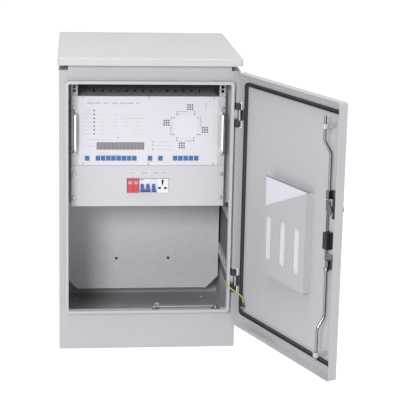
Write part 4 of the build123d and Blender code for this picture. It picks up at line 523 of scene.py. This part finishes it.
class PaintCabinet(bpy.types.Operator):
    """Coat the cabinet, its roof, rack uprights, rails and mounting plate"""

    bl_idname = "controller.paint_cabinet"
    bl_label = "Paint cabinet"

    def execute(self, context):
        coat = tuple(colours().coat)
        sprayed = powder_coat("powder coat", coat)
        cover(sprayed, "front_frame", "rack_uprights", "door_pan", "document_pocket", "rod_guides")
        # The cabinet's inside gets the darker colour as painted shade.
        inside_shade = tuple(colours().inside)
        cover(lined("coat with painted shade inside", coat, inside_shade, SHADED_INSIDE_BOX, (0.42, 0.6)), "cabinet_shell")
        # The roof cap gets a lighter copy of the coat as painted light.
        cover(powder_coat("roof coat with painted light", tuple(colours().roof)), "roof_cap")
        zinc = zinc_sheet("zinc sheet", tuple(colours().plate))
        cover(zinc, "mounting_plate", "depth_rails", "plate_standoffs", "cabinet_screws")
        plated = bright_metal("zinc plated steel", linear("A6A6AB"), 0.36, 4.0)
        cover(plated, "cage_nuts", "panel_screws", "din_rail")
        return {"FINISHED"}


class PaintRack(bpy.types.Operator):
    """Finish the rack controller and the power panel"""

    bl_idname = "controller.paint_rack"
    bl_label = "Paint rack"

    def execute(self, context):
        cover(powder_coat("panel grey coat", linear("D2D2D6")), "controller_front_panel", "power_panel")
        cover(moulded("overlay film", tuple(colours().overlay), 0.36, 1.6, 0.006), "controller_overlay")
        cover(powder_coat("chassis coat", linear("D8D7DB")), "controller_chassis")
        black, green = linear("26272A"), linear("2E6B45")
        cover(two_tone("circuit board", black, green, (0, 1, 0), BOARD_FACE, (0.5, 0.4)), "front_board")
        ruby, smoky = linear("7E3048"), linear("6A5F6C")
        lens = two_tone("lamp lens", ruby, smoky, (1, 0, 0), STATUS_LAMPS_RIGHT, (0.22, 0.22))
        cover(lens, "indicator_lamps")
        cover(moulded("display window", linear("808085"), 0.25, 2.0, 0.01), "display_module")
        cover(bright_metal("chromed handle", linear("F4F4F6"), 0.42, 5.0), "controller_handles")
        buttons = [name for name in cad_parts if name.startswith("button_")]
        cover(moulded("button plastic", tuple(colours().button), 0.34), *buttons)
        cover(moulded("toggle plastic", tuple(colours().toggle), 0.3), "toggle_two_pole", "toggle_one_pole")
        cover(moulded("breaker plastic", linear("EDEEF1"), 0.35), "breaker_two_pole", "breaker_one_pole")
        white, dark = linear("EDEEF1"), linear("101013")
        # The slots are near-black: black shutters, and painted shade on their walls.
        cover(lined("socket plastic with shaded slots", white, dark, SOCKET_SLOT_BOX, (0.35, 0.5)), "socket_outlet")
        red, base = tuple(colours().arrester), linear("C8C8CA")
        module = two_tone("arrester plastic", red, base, (0, 1, 0), ARRESTER_BASE_FACE, (0.36, 0.4))
        cover(module, "surge_arrester")
        return {"FINISHED"}


class PaintDoor(bpy.types.Operator):
    """Finish the hinges, the lock, the stay, the seal and the terminals"""

    bl_idname = "controller.paint_door"
    bl_label = "Paint door"

    def execute(self, context):
        steel = bright_metal("hinge steel", linear("A9A9AE"), 0.3, 3.0)
        cover(steel, "hinge_frame_plates", "hinge_door_leaves")
        cover(moulded("hinge block plastic", linear("232327"), 0.5), "hinge_blocks")
        cover(moulded("seal rubber", linear("343338"), 0.68, 1.5, 0.05), "door_seal")
        outside = DOOR_INWARD.dot(DOOR_PIVOT) - PIVOT_DEPTH + KEY_RIM_DEPTH
        key, case = linear("BFBFC2"), linear("1E1E21")
        lock = two_tone("lock case plastic", key, case, DOOR_INWARD, outside, (0.22, 0.42), (1.0, 0.0))
        cover(lock, "lock_case")
        cover(bright_metal("lock chrome", linear("88888E"), 0.24, 3.0), "lock_crank", "lower_rod")
        black, chrome = linear("232326"), linear("88888E")
        up, gloss = (0, 0, 1), (0.4, 0.26)
        # Black below the plate's top stands for the plate and is also painted shade for the shadow beside the
        # crank's ball.
        rod = two_tone("rod with black plate and painted shade", black, chrome, up, BLACK_AND_SHADE_TOP, gloss, (0.0, 1.0))
        cover(rod, "upper_rod")
        cover(moulded("handle plastic", linear("2A2A2D"), 0.42), "door_handle")
        cover(bright_metal("stay steel", linear("8F8F95"), 0.36, 4.0), "stay_rod", "stay_brackets")
        tin, sleeve = linear("B9B9BD"), linear("3C4A66")
        for place, box in TERMINAL_BARREL_BOXES.items():
            terminal = lined(f"{place} terminal", tin, sleeve, box, (0.3, 0.42), (1.0, 0.0))
            cover(terminal, f"earth_terminal_{place}")
        return {"FINISHED"}


class PrintOverlay(bpy.types.Operator):
    """Print the crossing diagram, the label lines and the display's digits"""

    bl_idname = "controller.print_overlay"
    bl_label = "Print overlay"

    def execute(self, context):
        dark = moulded("dark ink", tuple(colours().print_dark), 0.5)
        pale = moulded("pale ink", tuple(colours().print_pale), 0.5)
        tint = moulded("tinted ink", linear("E6E6EE"), 0.5, 1.6, 0.01)
        x, z = DIAGRAM_MIDDLE
        half = FIELD_HALF
        field = cornered(mark(x - half, x + half, z - half, z + half, OVERLAY_FACE), FIELD_CORNER)
        printed([], OVERLAY_FACE, "crossing_field", tint, [field])
        heads = [arrow_head(ARROW_X, level, ARROW_REACH, OVERLAY_FACE) for level in ARROW_LEVELS]
        printed(ROAD_LINES, OVERLAY_FACE, "crossing_lines", dark, heads)
        printed(label_lines(), OVERLAY_FACE, "label_lines", pale)
        first = digit(DIGIT_START)
        digits = [first] + [copied(first, i * DIGIT_STEP) for i in range(1, DIGITS)]
        grey = moulded("digit grey", linear("A2A2A6"), 0.4)
        printed([], DISPLAY_FACE, "display_digits", grey, digits)
        return {"FINISHED"}


def label_lines():
    """Small bars in the places of the overlay's lettering."""
    bars = []
    for i, width in enumerate(TITLE_WORDS):
        start = TITLE_LEFT + i * TITLE_STEP
        bars.append((start, start + width, TITLE_FOOT, TITLE_TOP))
    for i, row in enumerate(LABEL_ROWS):
        z = ROW_LEVEL - i * ROW_STEP
        end = ROW_RIGHT - ROW_SHORTER * (i % 3)
        bars.append((ROW_LEFT, end, z - LAMP_LABEL_HALF, z + LAMP_LABEL_HALF))
        for word in row:
            left, right = [(step - ROW_STEP_FIRST) * ROW_STEP_WIDTH + ROW_STEP_X for step in word]
            bars.append((left, right, z - LABEL_HALF, z + LABEL_HALF))
    bars += SINGLE_LINES
    return bars


def digit(x):
    """The seven segments of one display digit, as one mesh."""
    half, thick = DIGIT_HALF, DIGIT_STROKE
    segments = []
    for level in (-1, 0, 1):
        z = DIGIT_LEVEL + level * DIGIT_RISE
        reach = half - SEGMENT_SETBACK
        segments.append(mark(x - reach, x + reach, z - thick / 2, z + thick / 2, DISPLAY_FACE))
    for side in (-1, 1):
        edge = x + side * (half - thick / 4)
        for level in (-1, 0):
            foot = DIGIT_LEVEL + level * DIGIT_RISE + thick / 2 + SEGMENT_GAP
            top = foot + DIGIT_RISE - thick - 2 * SEGMENT_GAP
            segments.append(mark(edge - thick / 2, edge + thick / 2, foot, top, DISPLAY_FACE))
    return joined(segments)


def copied(piece, shift):
    """A copy with its own mesh, moved along X by a distance in millimetres."""
    deselect()
    piece.select_set(True)
    bpy.context.view_layer.objects.active = piece
    bpy.ops.object.duplicate(linked=False)
    made = bpy.context.object
    bpy.ops.transform.translate(value=(shift * MM, 0.0, 0.0))
    at_origin(made)
    return made


class LabelModules(bpy.types.Operator):
    """Label strip over the modules, and the print on the breakers"""

    bl_idname = "controller.label_modules"
    bl_label = "Label modules"

    def execute(self, context):
        pale = bpy.data.materials["pale ink"]
        dark = bpy.data.materials["dark ink"]
        film = moulded("label film", linear("DADADF"), 0.4, 1.6, 0.01)
        rims = [mark(a, b, LABEL_FOOT, LABEL_TOP, PANEL_FACE) for a, b in LABEL_ENDS]
        rims = [cornered(rim, LABEL_CORNER, 4) for rim in rims]
        printed([], PANEL_FACE, "label_strip_frames", pale, rims)
        front = PANEL_FACE - sizes().print_thickness / MM
        foot, top = LABEL_FOOT + LABEL_RIM, LABEL_TOP - LABEL_RIM
        cards = [mark(a + LABEL_RIM, b - LABEL_RIM, foot, top, front) for a, b in LABEL_ENDS]
        cards = [cornered(card, CARD_CORNER, 4) for card in cards]
        printed([], front, "label_strip", film, cards)
        front -= sizes().print_thickness / MM
        printed(LABEL_WORDS, front, "label_strip_marks", dark)
        blue = moulded("breaker print blue", linear("8F93CF"), 0.5)
        printed(BREAKER_HEADING, NOSE_FACE, "breaker_marks", blue)
        printed(BREAKER_PRINT, NOSE_FACE, "breaker_small_marks", pale)
        return {"FINISHED"}


class ArresterWindows(bpy.types.Operator):
    """Status windows of the surge arrester, and a painted highlight band above each"""

    bl_idname = "controller.arrester_windows"
    bl_label = "Arrester windows"

    def execute(self, context):
        green = moulded("status green", linear("B9BE86"), 0.25)
        first, second = PLUG_MIDDLES
        depths = [PLUG_FACE + sink for sink in WINDOW_SINK]
        heights = [MODULE_MIDDLE + rise for rise in WINDOW_RISE]
        pane = brick(first - WINDOW_HALF, first + WINDOW_HALF, *depths, *heights)
        pane = bevelled(pane, WINDOW_EDGE)
        panes = joined([pane, copied(pane, second - first)])
        dress(panes, "arrester_panes", green, "cabinet")
        # A pale pink band above each window is a painted highlight.
        painted_highlight = moulded("arrester stripe", linear("E3A9B4"), 0.4)
        foot, top = (MODULE_MIDDLE + rise for rise in PAINTED_HIGHLIGHT_RISE)
        bars = [(x - WINDOW_HALF, x + WINDOW_HALF, foot, top) for x in PLUG_MIDDLES]
        printed(bars, PLUG_FACE, "arrester_painted_highlights", painted_highlight)
        return {"FINISHED"}


class PocketPapers(bpy.types.Operator):
    """Leaves of documents that stand in the door pocket, in a dark slide binder"""

    bl_idname = "controller.pocket_papers"
    bl_label = "Pocket papers"

    def execute(self, context):
        low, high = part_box("papers")
        white = moulded("paper", tuple(colours().paper), 0.8, 1.2, 0.012)
        count = sizes().sheets
        leaves = [leaf(i, count, low.z / MM, high.z / MM) for i in range(count)]
        piece = dress(joined(leaves), "document_leaves", white, "door")
        depths = [LEAF_FRONT + sink for sink in BINDER_SINK]
        heights = [high.z / MM + LEAF_RISE - drop for drop in BINDER_DROPS]
        binder = on_door(bevelled(brick(*BINDER_ENDS, *depths, *heights), BINDER_EDGE))
        dress(binder, "document_binder", moulded("binder plastic", linear("55555C"), 0.5), "door")
        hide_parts("papers")
        return {"FINISHED"}


def on_door(piece):
    """Turn a piece from the closed door's axes (X back towards the hinge, Y depth) onto the open door."""
    origin = (DOOR_PIVOT + DOOR_INWARD * PIVOT_DEPTH) * MM
    turn = Matrix((-DOOR_ALONG, DOOR_INWARD, Vector((0, 0, 1)))).transposed().to_4x4()
    piece.matrix_world = Matrix.Translation(origin) @ turn
    at_origin(piece)
    return piece


def leaf(index, count, foot, top):
    """One leaf: a thin block, subdivided and rippled a little, then stood in the pocket."""
    shorter = LEAF_DROPS[(count - 1 - index) % len(LEAF_DROPS)]
    near, far = LEAF_NEAR + (index % 3) * NEAR_SHIFT, LEAF_FAR - (index % 2) * FAR_SHIFT
    middle = LEAF_BACK + (index + 0.5) / count * (LEAF_FRONT - LEAF_BACK)
    half = sizes().sheet_thickness / MM / 2
    piece = brick(-far, -near, middle - half, middle + half, foot + LEAF_FOOT_GAP, top + LEAF_RISE - shorter)
    deselect()
    bpy.context.view_layer.objects.active = piece
    bpy.ops.object.mode_set(mode="EDIT")
    bpy.ops.mesh.select_all(action="SELECT")
    bpy.ops.mesh.subdivide(number_cuts=LEAF_CUTS)
    bpy.ops.object.mode_set(mode="OBJECT")
    clouds = bpy.data.textures.new("ripple", "CLOUDS")
    clouds.noise_scale = RIPPLE_SIZE * MM
    modifier = piece.modifiers.new("ripple", "DISPLACE")
    modifier.texture = clouds
    modifier.texture_coords = "LOCAL"
    modifier.direction = "Y"
    modifier.strength = RIPPLE_HEIGHT * MM
    bpy.ops.object.modifier_apply(modifier="ripple")
    return on_door(piece)


class EarthLead(bpy.types.Operator):
    """Yellow and green earth lead from the cabinet's terminal to the door's"""

    bl_idname = "controller.earth_lead"
    bl_label = "Earth lead"

    def execute(self, context):
        deselect()
        data = bpy.data.curves.new("earth_lead", "CURVE")
        data.dimensions = "3D"
        data.resolution_u = 8
        spline = data.splines.new("NURBS")
        spline.points.add(len(LEAD_ROUTE) - 1)
        for point, place in zip(spline.points, LEAD_ROUTE):
            point.co = tuple(v * MM for v in place) + (1.0,)
        spline.order_u = 3
        spline.use_endpoint_u = True
        curve = bpy.data.objects.new("earth_lead_line", data)
        context.scene.collection.objects.link(curve)
        context.view_layer.update()
        line = bpy.data.meshes.new_from_object(curve)
        path = [tuple(v.co) for v in line.vertices]
        bpy.data.meshes.remove(line)
        data.bevel_depth = sizes().lead_radius
        data.bevel_resolution = 4
        data.use_fill_caps = True
        curve.select_set(True)
        context.view_layer.objects.active = curve
        bpy.ops.object.convert(target="MESH")
        piece = context.object
        mark_round(piece, path)
        for face in piece.data.polygons:
            face.use_smooth = True
        piece.name = "earth_lead"
        piece.data.materials.clear()
        piece.data.materials.append(lead_jacket("lead jacket"))
        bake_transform(piece)
        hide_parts("earth_wire")
        return {"FINISHED"}


def mark_round(piece, path):
    """Store on each vertex how far round the lead it lies, as a cosine, with a slow twist along the lead."""
    spots = [Vector(p) for p in path]
    values = []
    for vertex in piece.data.vertices:
        index = min(range(len(spots)), key=lambda i: (spots[i] - vertex.co).length_squared)
        ahead = spots[min(index + 1, len(spots) - 1)] - spots[max(index - 1, 0)]
        ahead.normalize()
        side = ahead.cross(Vector((0, 0, 1)))
        side = side.normalized() if side.length > 0.05 else Vector((1, 0, 0))
        up = side.cross(ahead)
        out = vertex.co - spots[index]
        angle = math.atan2(out.dot(up), out.dot(side)) + index * LEAD_TWIST
        values.append(math.cos(angle))
    attribute = piece.data.attributes.new("round_lead", "FLOAT", "POINT")
    attribute.data.foreach_set("value", values)


class Studio(bpy.types.Operator):
    """Pale floor, soft lamps, world and camera"""

    bl_idname = "controller.studio"
    bl_label = "Studio"

    def execute(self, context):
        self.floor()
        self.lamps()
        self.camera(context)
        context.scene.view_settings.view_transform = "Standard"
        return {"FINISHED"}

    def floor(self):
        """Large pale floor that shows white to the camera and keeps the shadow."""
        deselect()
        bpy.ops.mesh.primitive_plane_add(size=FLOOR_SIDE, location=FLOOR_MIDDLE)
        floor = bpy.context.object
        floor.name = "floor"
        at_origin(floor)
        material, tree, shader = blank("floor paint")
        shader.inputs["Base Color"].default_value = linear("DEDEDE") + (1.0,)
        shader.inputs["Roughness"].default_value = 0.9
        shader.inputs["Specular IOR Level"].default_value = 0.0
        under = inside(tree, *CABINET_FOOT_BOX)
        open_floor = add(tree, "ShaderNodeMath", {0: 1.0, 1: under}, operation="SUBTRACT")
        bright = add(tree, "ShaderNodeMath", {0: open_floor.outputs[0], 1: FLOOR_GLOW}, operation="MULTIPLY")
        lift = add(tree, "ShaderNodeMath", {0: seen_rays(tree), 1: bright.outputs[0]}, operation="MULTIPLY")
        glow = add(tree, "ShaderNodeEmission", {"Strength": lift.outputs[0]})
        both = add(tree, "ShaderNodeAddShader", {0: shader.outputs[0], 1: glow.outputs[0]})
        output = next(n for n in tree.nodes if n.type == "OUTPUT_MATERIAL")
        tree.links.new(both.outputs[0], output.inputs["Surface"])
        floor.data.materials.append(material)

    def lamps(self):
        """A soft key left of the camera, a weak fill at the right and a top light, in a pale room."""
        for name, place, size, power in LAMPS:
            data = bpy.data.lights.new(name, "AREA")
            data.size = size
            data.energy = power
            lamp = bpy.data.objects.new(name, data)
            lamp.location = place
            lamp.visible_camera = False
            aim = LAMP_AIM - Vector(place)
            lamp.rotation_euler = aim.to_track_quat("-Z", "Y").to_euler()
            bpy.context.scene.collection.objects.link(lamp)
        world = bpy.data.worlds.new("studio")
        bpy.context.scene.world = world
        world.use_nodes = True
        tree = world.node_tree
        tree.nodes.clear()
        strength = add(tree, "ShaderNodeMapRange", {"Value": seen_rays(tree), "To Min": ROOM_LIGHT,
                                                    "To Max": SEEN_LIGHT})
        white = (1.0, 1.0, 1.0, 1.0)
        back = add(tree, "ShaderNodeBackground", {"Color": white, "Strength": strength.outputs[0]})
        add(tree, "ShaderNodeOutputWorld", {"Surface": back.outputs[0]})

    def camera(self, context):
        """Camera solved from the photograph's lines, with the shift of its crop."""
        data = bpy.data.cameras.new("camera")
        data.sensor_width = SENSOR_WIDTH
        data.lens = FOCAL_LENGTH / FRAME_SIDE * SENSOR_WIDTH
        data.shift_x = (FRAME_SIDE / 2 - AXIS_X) / FRAME_SIDE
        data.shift_y = -(FRAME_SIDE / 2 - AXIS_Y) / FRAME_SIDE
        data.clip_end = 100.0
        camera = bpy.data.objects.new("camera", data)
        turn = Matrix((CAMERA_RIGHT, CAMERA_UP, -CAMERA_AHEAD)).transposed().to_4x4()
        camera.matrix_world = Matrix.Translation(CAMERA_PLACE) @ turn
        context.scene.collection.objects.link(camera)
        context.scene.camera = camera


class ControllerPanel(bpy.types.Panel):
    """Sizes, colours and steps of the controller"""

    bl_idname = "VIEW3D_PT_controller"
    bl_label = "Traffic Signal Controller"
    bl_space_type = "VIEW_3D"
    bl_region_type = "UI"
    bl_category = "Controller"

    def draw(self, context):
        for group in (context.scene.controller_sizes, context.scene.controller_colours):
            for key in group.__annotations__:
                self.layout.prop(group, key)
        for step in STEPS:
            self.layout.operator(step.bl_idname)


STEPS = (PaintCabinet, PaintRack, PaintDoor, PrintOverlay, LabelModules, ArresterWindows, PocketPapers,
         EarthLead, Studio)
CLASSES = (ControllerColours, ControllerSizes, *STEPS, ControllerPanel)


def register():
    """Register the classes and hang the settings on the scene."""
    for entry in CLASSES:
        bpy.utils.register_class(entry)
    bpy.types.Scene.controller_colours = PointerProperty(type=ControllerColours)
    bpy.types.Scene.controller_sizes = PointerProperty(type=ControllerSizes)


def unregister():
    """Take the settings and the classes away."""
    del bpy.types.Scene.controller_sizes
    del bpy.types.Scene.controller_colours
    for entry in reversed(CLASSES):
        bpy.utils.unregister_class(entry)


def main():
    """Build everything in order."""
    register()
    bpy.ops.controller.paint_cabinet()
    bpy.ops.controller.paint_rack()
    bpy.ops.controller.paint_door()
    bpy.ops.controller.print_overlay()
    bpy.ops.controller.label_modules()
    bpy.ops.controller.arrester_windows()
    bpy.ops.controller.pocket_papers()
    bpy.ops.controller.earth_lead()
    bpy.ops.controller.studio()
    bpy.context.view_layer.update()


if __name__ == "__main__":
    main()
